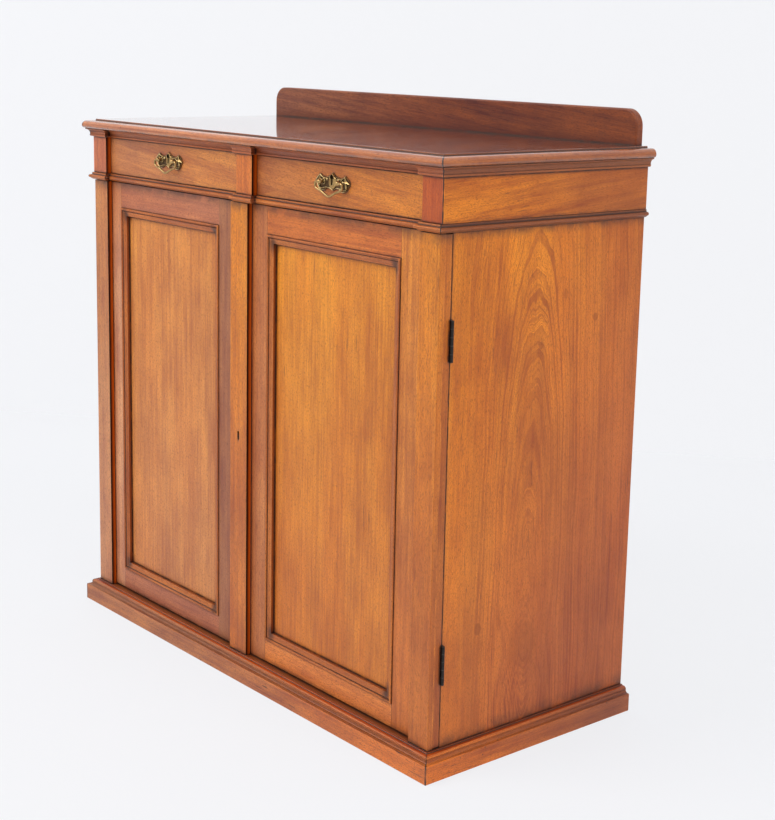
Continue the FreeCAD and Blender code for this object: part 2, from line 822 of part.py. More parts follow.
def post_bolts(x, z, y_front):
    bolts = []
    for side in (-1, 1):
        x_post = x + side * post_spacing / 2
        start = Vector(x_post, y_recess - handle_plate_thickness, z)
        bolts.append(rod(post_bolt_radius, start, Vector(x_post, y_front + post_bolt_spare, z)))
    return bolts


def plate_outline():
    # Right half of the cast plate, from its lowest point round to its top point.
    right = [
        (0.0, -13.0),
        ((8.0, -9.8), (16.0, -9.5)),
        ((29.0, -14.0), (38.5, -7.5)),
        ((41.0, -3.8), (44.2, -0.5)),
        ((39.5, 6.0), (31.5, 11.5)),
        ((28.2, 7.6), (23.5, 8.2)),
        ((18.0, 6.6), (13.0, 8.0)),
        ((6.0, 10.2), (0.0, 14.8)),
    ]
    ends = [right[0]] + [end for middle, end in right[1:]]
    left = []
    for i in range(len(right) - 1, 0, -1):
        middle = right[i][0]
        left.append(((-middle[0], middle[1]), (-ends[i - 1][0], ends[i - 1][1])))
    return right + left


def handle(name, x, z, way_in, y_front):
    y_plate = y_recess - handle_plate_thickness
    y_pivot = y_recess - handle_standoff
    bolts = post_bolts(x, z, y_front)
    face = outline_face(plate_outline(), lambda u, v: Vector(x + u, y_plate, z + v))
    plate = without(face.extrude(Vector(0, handle_plate_thickness, 0)), bolts + [way_in])
    reach = post_spacing / 2 + bail_shoulder
    bore = rod(bail_radius + bail_clearance, Vector(x - reach, y_pivot, z), Vector(x + reach, y_pivot, z))
    pieces = [plate]
    for bolt, side in zip(bolts, (-1, 1)):
        x_post = x + side * post_spacing / 2
        neck = rod(post_radius, Vector(x_post, y_pivot, z), Vector(x_post, y_plate, z))
        ball = Part.makeSphere(post_ball_radius, Vector(x_post, y_pivot, z))
        pieces.append(without(joined([neck, ball, bolt]), [bore]))
        corners = []
        for i in range(6):
            turn = math.radians(60 * i)
            x_corner = x_post + nut_radius * math.cos(turn)
            corners.append(Vector(x_corner, y_front, z + nut_radius * math.sin(turn)))
        pieces.append(prism(corners, Vector(0, nut_thickness, 0)).cut(bolt))
    nodes[name + "_plate"] = group(pieces)
    nodes[name + "_bail"] = bail(x, y_pivot, z)


def bail(x, y, z):
    stub = post_spacing / 2 - bail_stub_inset
    out = post_spacing / 2 + bail_shoulder
    elbow, shoulder, hollow, point = bail_bends
    waist = post_spacing / 2 - bail_waist_inset
    half_points = [(stub, 0, 0), (out, 0, elbow), (out, -bail_shoulder_drop, shoulder),
                   (waist, -bail_waist_drop, hollow), (0, -bail_drop, point)]
    corners = [(-u, v, r) for u, v, r in half_points] + half_points[-2::-1]
    places = [Vector(x + u, y, z + v) for u, v, r in corners]
    edges = []
    here = places[0]
    for i in range(1, len(places) - 1):
        back = (places[i - 1] - places[i]).normalize()
        ahead = (places[i + 1] - places[i]).normalize()
        turn = math.pi - back.getAngle(ahead)
        cut = corners[i][2] * math.tan(turn / 2)
        first = places[i] + back * cut
        last = places[i] + ahead * cut
        inward = (back + ahead).normalize()
        depth = corners[i][2] / math.cos(turn / 2) - corners[i][2]
        edges.append(Part.makeLine(here, first))
        edges.append(Part.Arc(first, places[i] + inward * depth, last).toShape())
        here = last
    edges.append(Part.makeLine(here, places[-1]))
    ring = Part.Wire([Part.makeCircle(bail_radius, places[0], Vector(1, 0, 0))])
    return Part.Wire(edges).makePipeShell([ring], True, True)


plinth()
case_boards()
frieze()
mouldings()
top()
door("left", -half, x_left_meet, left_hinge_stile, left_meeting_stile)
door("right", half, x_right_meet, right_hinge_stile, right_meeting_stile)
door_lock()
slide_bolts()
hinges()
drawer("drawer_left", -1)
drawer("drawer_right", 1)

os.makedirs("parts", exist_ok=True)
for node, shape in nodes.items():
    placed = shape.copy()
    placed.translate(Vector(0, -y_centre, 0))
    placed.exportStep("parts/" + node + ".step")
print(len(nodes), "nodes")
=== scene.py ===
import bpy
import bmesh
import json
import math
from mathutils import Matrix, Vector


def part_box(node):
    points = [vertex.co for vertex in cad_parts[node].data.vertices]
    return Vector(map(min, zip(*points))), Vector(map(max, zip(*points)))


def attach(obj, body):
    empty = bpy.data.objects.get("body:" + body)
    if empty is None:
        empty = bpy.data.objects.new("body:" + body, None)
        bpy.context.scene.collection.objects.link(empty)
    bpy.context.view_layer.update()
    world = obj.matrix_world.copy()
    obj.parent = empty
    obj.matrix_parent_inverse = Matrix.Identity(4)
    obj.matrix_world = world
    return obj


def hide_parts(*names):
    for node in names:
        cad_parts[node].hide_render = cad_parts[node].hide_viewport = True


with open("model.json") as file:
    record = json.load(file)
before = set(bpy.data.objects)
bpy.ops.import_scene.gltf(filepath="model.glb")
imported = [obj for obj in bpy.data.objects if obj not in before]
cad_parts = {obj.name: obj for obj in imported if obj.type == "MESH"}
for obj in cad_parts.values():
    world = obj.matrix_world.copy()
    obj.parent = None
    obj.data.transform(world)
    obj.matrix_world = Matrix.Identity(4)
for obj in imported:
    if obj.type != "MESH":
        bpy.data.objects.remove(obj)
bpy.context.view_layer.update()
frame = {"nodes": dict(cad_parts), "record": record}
print("frame loaded", len(frame["nodes"]), "nodes")


def colour(red, green, blue):
    parts = []
    for value in (red, green, blue):
        share = value / 255
        parts.append(share / 12.92 if share <= 0.04045 else ((share + 0.055) / 1.055) ** 2.4)
    return (*parts, 1.0)


def shaded(paint, red, green, blue):
    return (min(1, paint[0] * red), min(1, paint[1] * green), min(1, paint[2] * blue), 1.0)


# small helpers for node trees

def feed(tree, socket, value):
    if isinstance(value, bpy.types.NodeSocket):
        tree.links.new(value, socket)
    else:
        socket.default_value = value


def calc(tree, operation, *values):
    node = tree.nodes.new("ShaderNodeMath")
    node.operation = operation
    for socket, value in zip(node.inputs, values):
        feed(tree, socket, value)
    return node.outputs[0]


def times(tree, first, second):
    return calc(tree, "MULTIPLY", first, second)


def vectorCalc(tree, operation, *values):
    node = tree.nodes.new("ShaderNodeVectorMath")
    node.operation = operation
    for socket, value in zip(node.inputs, values):
        feed(tree, socket, value)
    return node.outputs["Value"] if operation in ("LENGTH", "DOT_PRODUCT") else node.outputs["Vector"]


def band(tree, value, low, high, start=0.0, end=1.0):
    node = tree.nodes.new("ShaderNodeMapRange")
    node.interpolation_type = "SMOOTHSTEP"
    for socket, item in zip(node.inputs, (value, low, high, start, end)):
        feed(tree, socket, item)
    return node.outputs[0]


def noise(tree, vector, scale, detail=2.0, roughness=0.5):
    node = tree.nodes.new("ShaderNodeTexNoise")
    feed(tree, node.inputs["Vector"], vectorCalc(tree, "MULTIPLY", vector, scale))
    node.inputs["Scale"].default_value = 1.0
    node.inputs["Detail"].default_value = detail
    node.inputs["Roughness"].default_value = roughness
    return node.outputs[0]


def blend(tree, factor, first, second, mode="MIX"):
    node = tree.nodes.new("ShaderNodeMix")
    node.data_type = "RGBA"
    node.blend_type = mode
    feed(tree, node.inputs[0], factor)
    feed(tree, node.inputs[6], first)
    feed(tree, node.inputs[7], second)
    return node.outputs[2]


def onPiece(tree, kind="Object"):
    return tree.nodes.new("ShaderNodeTexCoord").outputs[kind]


def split(tree, vector):
    node = tree.nodes.new("ShaderNodeSeparateXYZ")
    feed(tree, node.inputs[0], vector)
    return node.outputs


def crevice(tree, reach, inside=False, samples=5):
    node = tree.nodes.new("ShaderNodeAmbientOcclusion")
    node.samples = samples
    node.inside = inside
    node.only_local = inside
    node.inputs["Distance"].default_value = reach
    return calc(tree, "SUBTRACT", 1.0, node.outputs["AO"])


def bump(tree, height, depth, strength):
    node = tree.nodes.new("ShaderNodeBump")
    node.inputs["Distance"].default_value = depth
    node.inputs["Strength"].default_value = strength
    feed(tree, node.inputs["Height"], height)
    return node.outputs[0]


def newMaterial(name):
    material = bpy.data.materials.new(name)
    material.use_nodes = True
    tree = material.node_tree
    return material, tree, tree.nodes["Principled BSDF"]


# figure of the wood, shared by every board: growth rings, ribbon, streaks, mottle and pores

def buildWoodFigure():
    tree = bpy.data.node_groups.new("woodFigure", "ShaderNodeTree")
    sockets = (("INPUT", "Vector", ("Vector", "Log")), ("INPUT", "Color", ("Light", "Dark", "Pore")),
               ("INPUT", "Float", ("Ring gap", "Ring blend", "Ribbon blend", "Pore blend", "Eye",
                                   "Streak blend")),
               ("OUTPUT", "Color", ("Colour",)), ("OUTPUT", "Float", ("Height", "Streak")))
    for side, kind, labels in sockets:
        for label in labels:
            tree.interface.new_socket(name=label, in_out=side, socket_type="NodeSocket" + kind)
    given = tree.nodes.new("NodeGroupInput").outputs
    result = tree.nodes.new("NodeGroupOutput").inputs
    grain = given["Vector"]
    centred = lambda value: calc(tree, "SUBTRACT", value, 0.5)
    reach = vectorCalc(tree, "LENGTH", vectorCalc(tree, "MULTIPLY", given["Log"], (1, 1, 0)))
    warp = noise(tree, given["Log"], (12, 12, 3.0), 3.0, 0.5)
    reach = calc(tree, "MULTIPLY_ADD", centred(warp), 0.03, reach)
    years = tree.nodes.new("ShaderNodeTexNoise")  # good and bad years, so the rings aren't evenly spaced
    years.noise_dimensions = "1D"
    feed(tree, years.inputs["W"], times(tree, reach, 55.0))
    turns = calc(tree, "DIVIDE", calc(tree, "SUBTRACT", reach, given["Eye"]), given["Ring gap"])
    turns = calc(tree, "MULTIPLY_ADD", years.outputs[0], 2.4, turns)
    rings = calc(tree, "SINE", times(tree, turns, 2 * math.pi))
    late = calc(tree, "POWER", calc(tree, "FRACT", turns), 7.0)  # a thin line where each ring closes
    strength = band(tree, noise(tree, grain, (7, 7, 1.8)), 0.35, 0.65, 0.25, 1.0)
    ringLevel = calc(tree, "MULTIPLY_ADD", rings, 0.3, calc(tree, "MULTIPLY_ADD", late, 0.8, -0.1))
    strength = times(tree, strength, band(tree, reach, 0.09, 0.16, 1.0, 0.4))
    ringLevel = times(tree, ringLevel, times(tree, strength, given["Ring blend"]))
    ribbon = noise(tree, grain, (40, 40, 1.2), 3.0, 0.6)
    streak = noise(tree, grain, (170, 170, 4.5), 4.0, 0.65)
    hair = noise(tree, grain, (620, 620, 34), 3.0, 0.6)
    mottle = noise(tree, grain, (26, 26, 11), 3.0, 0.6)
    blotch = noise(tree, grain, (5, 5, 2.5), 2.0)
    heart = band(tree, reach, 0.01, 0.1, 0.38, 0.5)  # redder wood about the pith
    level = calc(tree, "ADD", ringLevel, heart)
    level = calc(tree, "MULTIPLY_ADD", centred(ribbon), given["Ribbon blend"], level)
    lines = calc(tree, "MULTIPLY_ADD", centred(streak), 1.35, times(tree, centred(hair), 0.75))
    level = calc(tree, "MULTIPLY_ADD", lines, given["Streak blend"], level)
    for part, share in ((mottle, 1.0), (blotch, 1.2)):
        level = calc(tree, "MULTIPLY_ADD", centred(part), share, level)
    level.node.use_clamp = True
    body = blend(tree, level, given["Dark"], given["Light"])
    fine = band(tree, noise(tree, grain, (2400, 2400, 330), 1.0), 0.5, 0.66)
    coarse = band(tree, noise(tree, grain, (900, 900, 190), 1.0), 0.56, 0.66)
    pores = calc(tree, "MAXIMUM", times(tree, fine, 0.7), coarse)
    shade = times(tree, pores, given["Pore blend"])
    feed(tree, result["Colour"], blend(tree, shade, body, given["Pore"]))
    feed(tree, result["Height"], calc(tree, "SUBTRACT", times(tree, streak, 0.4), pores))
    feed(tree, result["Streak"], streak)
    return tree


woodFigure = buildWoodFigure()

grainTurn = {"x": (0, -math.pi / 2, 0), "y": (math.pi / 2, 0, 0), "z": (0, 0, 0)}  # turns the grain on to z

# how a board came out of its log: place of the pith, lean of the log, ring spacing and strength of the figure
cuts = {
    "ribbon": {"pith": (0.9, 0.3), "lean": (0.5, 0.8), "gap": 0.013, "ring": 0.22, "ribbon": 0.8},
    "quiet": {"pith": (0.9, 0.3), "lean": (0.5, 0.8), "gap": 0.013, "ring": 0.18, "ribbon": 0.5},
    "crown": {"pith": (-0.522, 0.008), "lean": (0.0, 6.84), "gap": 0.0066, "ring": 1.9, "ribbon": 0.5,
              "streak": 0.6, "fixed": True,  # its arches stay where they are on the board
              "eye": {"place": (0.5, -0.0125, 0.17), "spread": (1, 0.042, 0.056), "depth": 0.03},
              "spots": (((0.5, -0.0125, 0.172), (1, 0.038, 0.042), 0.3),
                        ((0.5, -0.112, 0.22), (1, 0.008, 0.011), 0.7),
                        ((0.5, 0.125, 0.692), (1, 0.006, 0.007), 0.6),
                        ((0.5, 0.005, 0.658), (1, 0.006, 0.006), 0.5),
                        ((0.5, 0.055, 0.735), (1, 0.005, 0.009), 0.4))},
    "farCrown": {"pith": (0.5, -0.03), "lean": (0.0, -6.2), "gap": 0.0115, "ring": 1.4, "ribbon": 0.8,
                 "fixed": True},
    "flame": {"pith": (-0.35, 0.12), "lean": (2.4, 3.0), "gap": 0.014, "ring": 0.8, "ribbon": 1.1,
              "slope": -6},
    "plain": {"pith": (0.9, 0.3), "lean": (0.5, 0.8), "gap": 0.013, "ring": 0.1, "ribbon": 0.3},
    "deal": {"pith": (0.3, 0.2), "lean": (1.2, 1.6), "gap": 0.009, "ring": 1.1, "ribbon": 0.4},
}
downward = ((0, 0, -1), -0.75, -0.15)  # direction in which a board's colour drifts, from where to where; downward, backward and downAndBack are painted shade, darker towards the bottom and the back where the light falls off; upward is darker towards the top
backward = ((0, 1, 0), -0.12, 0.16)
downAndBack = ((0, 1.9, -1), -1.1, 0.12)
upward = ((0, 0, 1), 0.66, 0.83)
doorJoint = -0.18675  # between the doors' edges and the sides
# levels under the waist moulding and on the plinth, where the boards get dirt and painted shade
underMoulding = ((0.846, 0.024), (0.0435, 0.01))
# polished colour of each kind of board; knocks are small dark marks, polish is how mirror-like it is; the left
# tones are paler and bluer than the rest, a painted reflection of the pale room on the boards of the left half
tones = {
    "leftPanel": {"wood": (203, 126, 60), "knocks": 0.25, "shadeAndToneDrift": (194, 121, 69), "toward": downward,
                  "corners": ("left_panel_moulding",)},
    "rightPanel": {"wood": (213, 130, 32), "knocks": 0.25, "shadeAndToneDrift": (198, 113, 38), "toward": downward,
                   "corners": ("right_panel_moulding",)},
    "warmStile": {"wood": (214, 129, 47), "knocks": 0.3, "shadeAndToneDrift": (185, 101, 45), "toward": downward,
                  "wearAndHighlight": 0.0, "ledgeGrimeAndShade": underMoulding},
    "leftStile": {"wood": (203, 140, 108), "knocks": 0.3, "shadeAndToneDrift": (188, 114, 76), "toward": upward,
                  "wearAndHighlight": 0.0, "ledgeGrimeAndShade": underMoulding},
    "greyStile": {"wood": (164, 102, 69), "knocks": 0.3, "wearAndHighlight": 0.0, "ledgeGrimeAndShade": underMoulding},
    "meetingStile": {"wood": (186, 111, 64), "knocks": 0.3, "wearAndHighlight": 0.0, "ledgeGrimeAndShade": underMoulding},
    "rail": {"wood": (199, 110, 46), "knocks": 0.35, "ledgeGrimeAndShade": underMoulding},
    "footRail": {"wood": (217, 127, 60), "knocks": 0.35, "ledgeGrimeAndShade": underMoulding},
    "leftRail": {"wood": (178, 105, 74), "knocks": 0.35, "ledgeGrimeAndShade": underMoulding},
    "pilaster": {"wood": (206, 121, 28), "knocks": 0.4, "shadeAndToneDrift": (190, 104, 40), "toward": downward,
                 "ledgeGrimeAndShade": underMoulding, "keyhole": (-0.01425, -0.21, 0.439)},
    "leftPilaster": {"wood": (188, 119, 70), "knocks": 0.3, "shadeAndToneDrift": (191, 126, 88), "toward": downward,
                     "ledgeGrimeAndShade": underMoulding},
    "doorEdge": {"wood": (192, 106, 30), "knocks": 0.5, "shadeAndToneDrift": (176, 92, 36), "toward": downward,
                 "seam": doorJoint, "ledgeGrimeAndShade": underMoulding},
    "leftBlock": {"wood": (193, 109, 71), "knocks": 0.3},
    "middleBlock": {"wood": (199, 110, 46), "knocks": 0.3},
    "rightBlock": {"wood": (187, 89, 36), "knocks": 0.3, "mitre": 0.292},
    "drawer": {"wood": (183, 108, 54), "knocks": 0.4, "shadeAndToneDrift": (210, 123, 41),
               "toward": ((1, 0, 0), 0.02, 0.45)},
    "leftDrawer": {"wood": (185, 117, 75), "knocks": 0.4, "shadeAndToneDrift": (212, 132, 62),
                   "toward": ((1, 0, 0), -0.45, -0.05)},
    "friezeSide": {"wood": (203, 111, 23), "knocks": 0.4, "shadeAndToneDrift": (165, 85, 30), "toward": backward,
                   "figure": 1.15, "ledgeGrimeAndShade": ((0.8595, 0.006), (0.928, 0.005)), "mitre": 0.292},
    "side": {"wood": (214, 121, 22), "knocks": 0.3, "shadeAndToneDrift": (169, 82, 38), "toward": downAndBack,
             "seam": doorJoint, "ledgeGrimeAndShade": ((0.0425, 0.028), (0.846, 0.018))},
    "moulding": {"wood": (182, 100, 40), "knocks": 0.6, "dustAndShade": 0.4, "soiledAndShaded": 0.2,
                 "corners": ("left_panel_moulding", "right_panel_moulding")},
    "waist": {"wood": (186, 104, 44), "knocks": 0.6, "dustAndShade": 0.6, "mitre": 0.289, "soiledAndShaded": 0.3},
    "cornice": {"wood": (176, 94, 48), "knocks": 0.6, "dustAndShade": 0.5, "mitre": 0.292, "soiledAndShaded": 0.3},
    "waistSide": {"wood": (148, 80, 38), "knocks": 0.8, "dustAndShade": 0.95, "mitre": 0.289, "soiledAndShaded": 0.9},
    "corniceSide": {"wood": (160, 88, 42), "knocks": 0.8, "dustAndShade": 0.8, "mitre": 0.292, "soiledAndShaded": 0.9},
    "topEdge": {"wood": (181, 103, 55), "knocks": 0.8, "polish": 0.8, "mitre": 0.291,
                "ledgeGrimeAndShade": ((0.9435, 0.007),), "shadeAndToneDrift": (162, 85, 33), "toward": ((1, 0.6, 0), 0.37, 0.45)},
    "topField": {"wood": (122, 54, 20), "knocks": 0.2, "polish": 1.0, "figure": 1.4},
    "gallery": {"wood": (125, 57, 22), "knocks": 0.5, "shadeAndToneDrift": (134, 72, 48), "figure": 1.7,
                "toward": ((-1, 0, 0), -0.1, 0.3)},
    "plinth": {"wood": (173, 104, 64), "knocks": 1.0, "dustAndShade": 0.85, "mitre": 0.289, "flecks": 1.0,
               "soiledAndShaded": 0.7, "shadeAndToneDrift": (200, 105, 40), "toward": ((1, 0, 0), -0.2, 0.5), "figure": 1.3},
    "plinthSide": {"wood": (204, 106, 33), "knocks": 1.0, "dustAndShade": 0.85, "mitre": 0.289, "flecks": 1.0,
                   "soiledAndShaded": 0.7, "shadeAndToneDrift": (146, 77, 46), "toward": ((0, 1, 0), -0.15, 0.2), "figure": 1.3},
    "plinthLedgeShade": {"wood": (176, 74, 10), "knocks": 0.6, "mitre": 0.289},
    "hollowWaxAndShade": {"wood": (88, 54, 38), "knocks": 0.3},
    "innerRail": {"wood": (150, 84, 40), "knocks": 0.3},
    "bareDeal": {"wood": (186, 140, 92), "knocks": 0.5, "bare": True},
}
# dirt in the panels' corners and round the keyhole, in open mitres, and the colours of dirt and of painted
# shade
corner = {"inset": 0.015, "spread": (0.013, 1, 0.024), "strength": 0.85, "soft": (0.3, 1.3)}
keyRim = {"spread": (0.0042, 1, 0.0125), "strength": 0.9, "soft": (0.75, 1.2)}
joint = {"wander": 0.0024, "soft": 0.0009, "reach": (-0.19, -0.18)}
dirtAndShadeColours = {"flecks": (70, 38, 26), "dustAndShade": (82, 56, 46), "mitre": (44, 26, 20), "seam": (52, 34, 28),
        "keyhole": (34, 21, 16), "corner": (50, 30, 24), "wax": (64, 40, 30)}
# narrow returns of the blocks and pilasters: painted shade, black at the front, and a painted red glow further
# in
returnShading = {"dark": (14, 6, 5), "paintedBounceGlow": (196, 80, 8), "from": -0.2095, "to": -0.2028}
bright = (1.38, 1.55, 1.3)  # how far the light and dark wood lie from the board's own colour
deep = (0.66, 0.52, 0.6)
woods = {}


def boardPlaces(tree, grain, slope):
    place = onPiece(tree)
    lay = tree.nodes.new("ShaderNodeMapping")
    turn = list(grainTurn[grain])
    turn[1 if grain == "x" else 0] += math.radians(slope)  # wood runs out of the board at a slight angle
    lay.inputs["Rotation"].default_value = turn
    feed(tree, lay.inputs["Vector"], place)
    island = tree.nodes.new("ShaderNodeNewGeometry").outputs["Random Per Island"]
    chance = tree.nodes.new("ShaderNodeObjectInfo").outputs["Random"]
    shift = vectorCalc(tree, "SCALE", (0.31, 0.17, 1.3))
    feed(tree, shift.node.inputs["Scale"], calc(tree, "ADD", island, chance))
    return place, lay.outputs[0], vectorCalc(tree, "ADD", lay.outputs[0], shift)


def eyeDepth(tree, place, eye):
    away = vectorCalc(tree, "DIVIDE", vectorCalc(tree, "SUBTRACT", place, eye["place"]), eye["spread"])
    fall = calc(tree, "EXPONENT", times(tree, vectorCalc(tree, "DOT_PRODUCT", away, away), -1.0))
    return times(tree, fall, eye["depth"])


def darkSpots(tree, place, spots, soft=(1.0, 1.3)):
    total = 0.0  # knots, and the darker heart of the eye
    rough = noise(tree, place, (60, 60, 60))
    for middle, size, strength in spots:
        away = vectorCalc(tree, "DIVIDE", vectorCalc(tree, "SUBTRACT", place, middle), size)
        ragged = calc(tree, "MULTIPLY_ADD", rough, 0.5, vectorCalc(tree, "LENGTH", away))
        total = calc(tree, "MAXIMUM", band(tree, ragged, *soft, strength, 0.0), total)
    return total


def cornerDirt(tree, place, frames):
    smudges = []
    for node in frames:
        low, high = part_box(node)
        for x in (low[0] + corner["inset"], high[0] - corner["inset"]):
            for z in (low[2] + corner["inset"], high[2] - corner["inset"]):
                smudges.append(((x, low[1], z), corner["spread"], corner["strength"]))
    return darkSpots(tree, place, smudges, corner["soft"])


def knockMarks(tree, place):
    cells = tree.nodes.new("ShaderNodeTexVoronoi")
    feed(tree, cells.inputs["Vector"], vectorCalc(tree, "MULTIPLY", place, (48, 48, 48)))
    cells.inputs["Scale"].default_value = 1.0
    spot = band(tree, cells.outputs["Distance"], 0.03, 0.09, 1.0, 0.0)
    parts = tree.nodes.new("ShaderNodeSeparateColor")
    feed(tree, parts.inputs[0], cells.outputs["Color"])
    return times(tree, spot, band(tree, parts.outputs[0], 0.55, 0.6))


def grimeAndShadeNear(tree, place, height, levels):
    total = 0.0  # dirt that hands and dusters leave near a ledge, with painted shade under the mouldings: its level, and how far it reaches
    for level, reach in levels:
        away = calc(tree, "ABSOLUTE", calc(tree, "SUBTRACT", height, level))
        smear = noise(tree, place, (32, 32, 26), 3.0, 0.6)
        near = times(tree, band(tree, away, 0.0, reach, 1.0, 0.0), band(tree, smear, 0.28, 0.64))
        total = calc(tree, "MAXIMUM", near, total)
    return total


def mitreLine(tree, place, offset):
    x, y, _ = split(tree, place)  # dirt in the open joint at the front corners
    across = calc(tree, "ADD", calc(tree, "ABSOLUTE", x), y)
    away = calc(tree, "ABSOLUTE", calc(tree, "SUBTRACT", across, offset))
    wander = times(tree, noise(tree, place, (90, 90, 90), 2.0), joint["wander"])
    return times(tree, band(tree, away, wander, calc(tree, "ADD", wander, joint["soft"]), 1.0, 0.0),
                band(tree, y, *joint["reach"], 1.0, 0.0))


def paintedReturnShadeMaterial():
    material, tree, shader = newMaterial("paintedReturnShade")
    place = onPiece(tree)
    streak = noise(tree, place, (300, 300, 12), 3.0, 0.6)
    depth = calc(tree, "MULTIPLY_ADD", streak, 0.003, calc(tree, "SUBTRACT", split(tree, place)[1], 0.0015))
    # painted shade at the front of each return, turning to a painted red glow further in
    inward = band(tree, depth, returnShading["from"], returnShading["to"])
    feed(tree, shader.inputs["Base Color"],
         blend(tree, inward, colour(*returnShading["dark"]), colour(*returnShading["paintedBounceGlow"])))
    feed(tree, shader.inputs["Roughness"], band(tree, streak, 0.2, 0.8, 0.36, 0.5))
    shader.inputs["Specular IOR Level"].default_value = 0.15
    feed(tree, shader.inputs["Normal"], bump(tree, streak, 0.0003, 0.2))
    return material


def darkenWith(tree, skin, amount, kind):
    return blend(tree, amount, skin, colour(*dirtAndShadeColours[kind]))


def woodMaterial(tone, grain, cut):
    key = tone + cut.capitalize() + grain.upper()
    if key in woods:
        return woods[key]
    look = tones[tone]
    saw = cuts[cut]
    bare = look.get("bare", False)
    wood = colour(*look["wood"])
    material, tree, shader = newMaterial(key)
    place, lay, boardPlace = boardPlaces(tree, grain, saw.get("slope", 0))
    log = tree.nodes.new("ShaderNodeMapping")
    log.inputs["Location"].default_value = (saw["pith"][0], saw["pith"][1], 0)
    log.inputs["Rotation"].default_value = (math.radians(saw["lean"][0]), math.radians(saw["lean"][1]), 0)
    feed(tree, log.inputs["Vector"], lay if "fixed" in saw else boardPlace)
    figure = tree.nodes.new("ShaderNodeGroup")
    figure.node_tree = woodFigure
    spread = look.get("figure", 1.0)
    brighter = [1 + (share - 1) * spread for share in bright]
    deeper = [max(0.1, 1 + (share - 1) * spread) for share in deep]
    light = shaded(wood, *brighter)
    dark = shaded(wood, *deeper)
    if "shadeAndToneDrift" in look:
        shadeAndToneDrift = colour(*look["shadeAndToneDrift"])
        direction, start, end = look["toward"]
        drift = band(tree, vectorCalc(tree, "DOT_PRODUCT", place, direction), start, end)
        light = blend(tree, drift, light, shaded(shadeAndToneDrift, *brighter))
        dark = blend(tree, drift, dark, shaded(shadeAndToneDrift, *deeper))
    given = {"Vector": boardPlace, "Log": log.outputs[0], "Light": light, "Dark": dark,
             "Pore": shaded(wood, 0.36, 0.3, 0.3), "Pore blend": 0.2 if bare else 0.62, "Ring gap": saw["gap"],
             "Ring blend": saw["ring"], "Ribbon blend": saw["ribbon"], "Streak blend": saw.get("streak", 1.0)}
    if "eye" in saw:
        given["Eye"] = eyeDepth(tree, place, saw["eye"])
    for label, value in given.items():
        feed(tree, figure.inputs[label], value)
    _, y, height = split(tree, place)
    cloud = noise(tree, place, (38, 38, 38), 3.0, 0.6)
    # lighter on the convex edges: worn polish, with a painted highlight
    wearAndHighlight = times(tree, band(tree, crevice(tree, 0.0025, True), 0.2, 0.5), band(tree, cloud, 0.38, 0.6))
    skin = figure.outputs["Colour"]
    if "spots" in saw:
        skin = blend(tree, darkSpots(tree, place, saw["spots"]), skin, shaded(wood, 0.44, 0.34, 0.5))
    if not bare:
        redder = band(tree, noise(tree, boardPlace, (15, 15, 2.4), 3.0, 0.6), 0.36, 0.66, 0.0, 0.55)
        skin = blend(tree, redder, skin, (1.0, 0.86, 0.7, 1.0), "MULTIPLY")
    skin = blend(tree, times(tree, wearAndHighlight, look.get("wearAndHighlight", 0.8)), skin,
                     shaded(wood, 1.5, 1.7, 2.2))
    flecks = band(tree, noise(tree, boardPlace, (360, 360, 26), 2.0), 0.65, 0.72)
    flecks = times(tree, flecks, band(tree, noise(tree, place, (11, 11, 11)), 0.48, 0.62))
    skin = darkenWith(tree, skin, times(tree, flecks, look.get("flecks", 0.5)), "flecks")
    if "dustAndShade" in look:
        soiledAndShaded = look.get("soiledAndShaded", 0.0)  # old dirt that the duster never reached, and painted shade in the hollows under the mouldings
        hollowDustAndShade = times(tree, band(tree, crevice(tree, 0.014), 0.16 - 0.2 * soiledAndShaded, 0.46 - 0.2 * soiledAndShaded),
                     band(tree, cloud, 0.34, 0.58, 0.4 + 0.5 * soiledAndShaded, 1.0))
        hollowDustAndShade = times(tree, hollowDustAndShade, band(tree, height, 0.01, 0.024))
        skin = darkenWith(tree, skin, times(tree, hollowDustAndShade, look["dustAndShade"]), "dustAndShade")
    if "mitre" in look:
        seam = mitreLine(tree, place, look["mitre"])
        skin = darkenWith(tree, skin, times(tree, seam, band(tree, cloud, 0.3, 0.5, 0.5, 0.95)), "mitre")
    if "seam" in look:
        away = calc(tree, "ABSOLUTE", calc(tree, "SUBTRACT", y, look["seam"]))
        seam = times(tree, band(tree, away, 0.0005, 0.0024, 0.9, 0.0),
                    band(tree, cloud, 0.3, 0.55, 0.35, 1.0))
        facing = calc(tree, "ABSOLUTE", split(tree, onPiece(tree, "Normal"))[0])
        outer = band(tree, facing, 0.4, 0.8)  # only on the outer face, not on the board's own edge
        seam = times(tree, seam, outer)
        skin = darkenWith(tree, skin, seam, "seam")
    if "keyhole" in look:
        rim = (look["keyhole"], keyRim["spread"], keyRim["strength"])
        rubbed = darkSpots(tree, place, (rim,), keyRim["soft"])
        skin = darkenWith(tree, skin, rubbed, "keyhole")
    if "corners" in look:
        skin = darkenWith(tree, skin, cornerDirt(tree, place, look["corners"]), "corner")
    paintedBounceGlow = band(tree, crevice(tree, 0.03), 0.1, 0.55, 0.0, 0.9)  # painted shade and glow: deeper, redder colour in crevices where polish faces polish
    paintedBounceGlow = times(tree, paintedBounceGlow, band(tree, height, 0.004, 0.04))
    skin = blend(tree, paintedBounceGlow, skin, shaded(wood, 0.46, 0.27, 0.1))
    marks = times(tree, knockMarks(tree, place), look["knocks"])
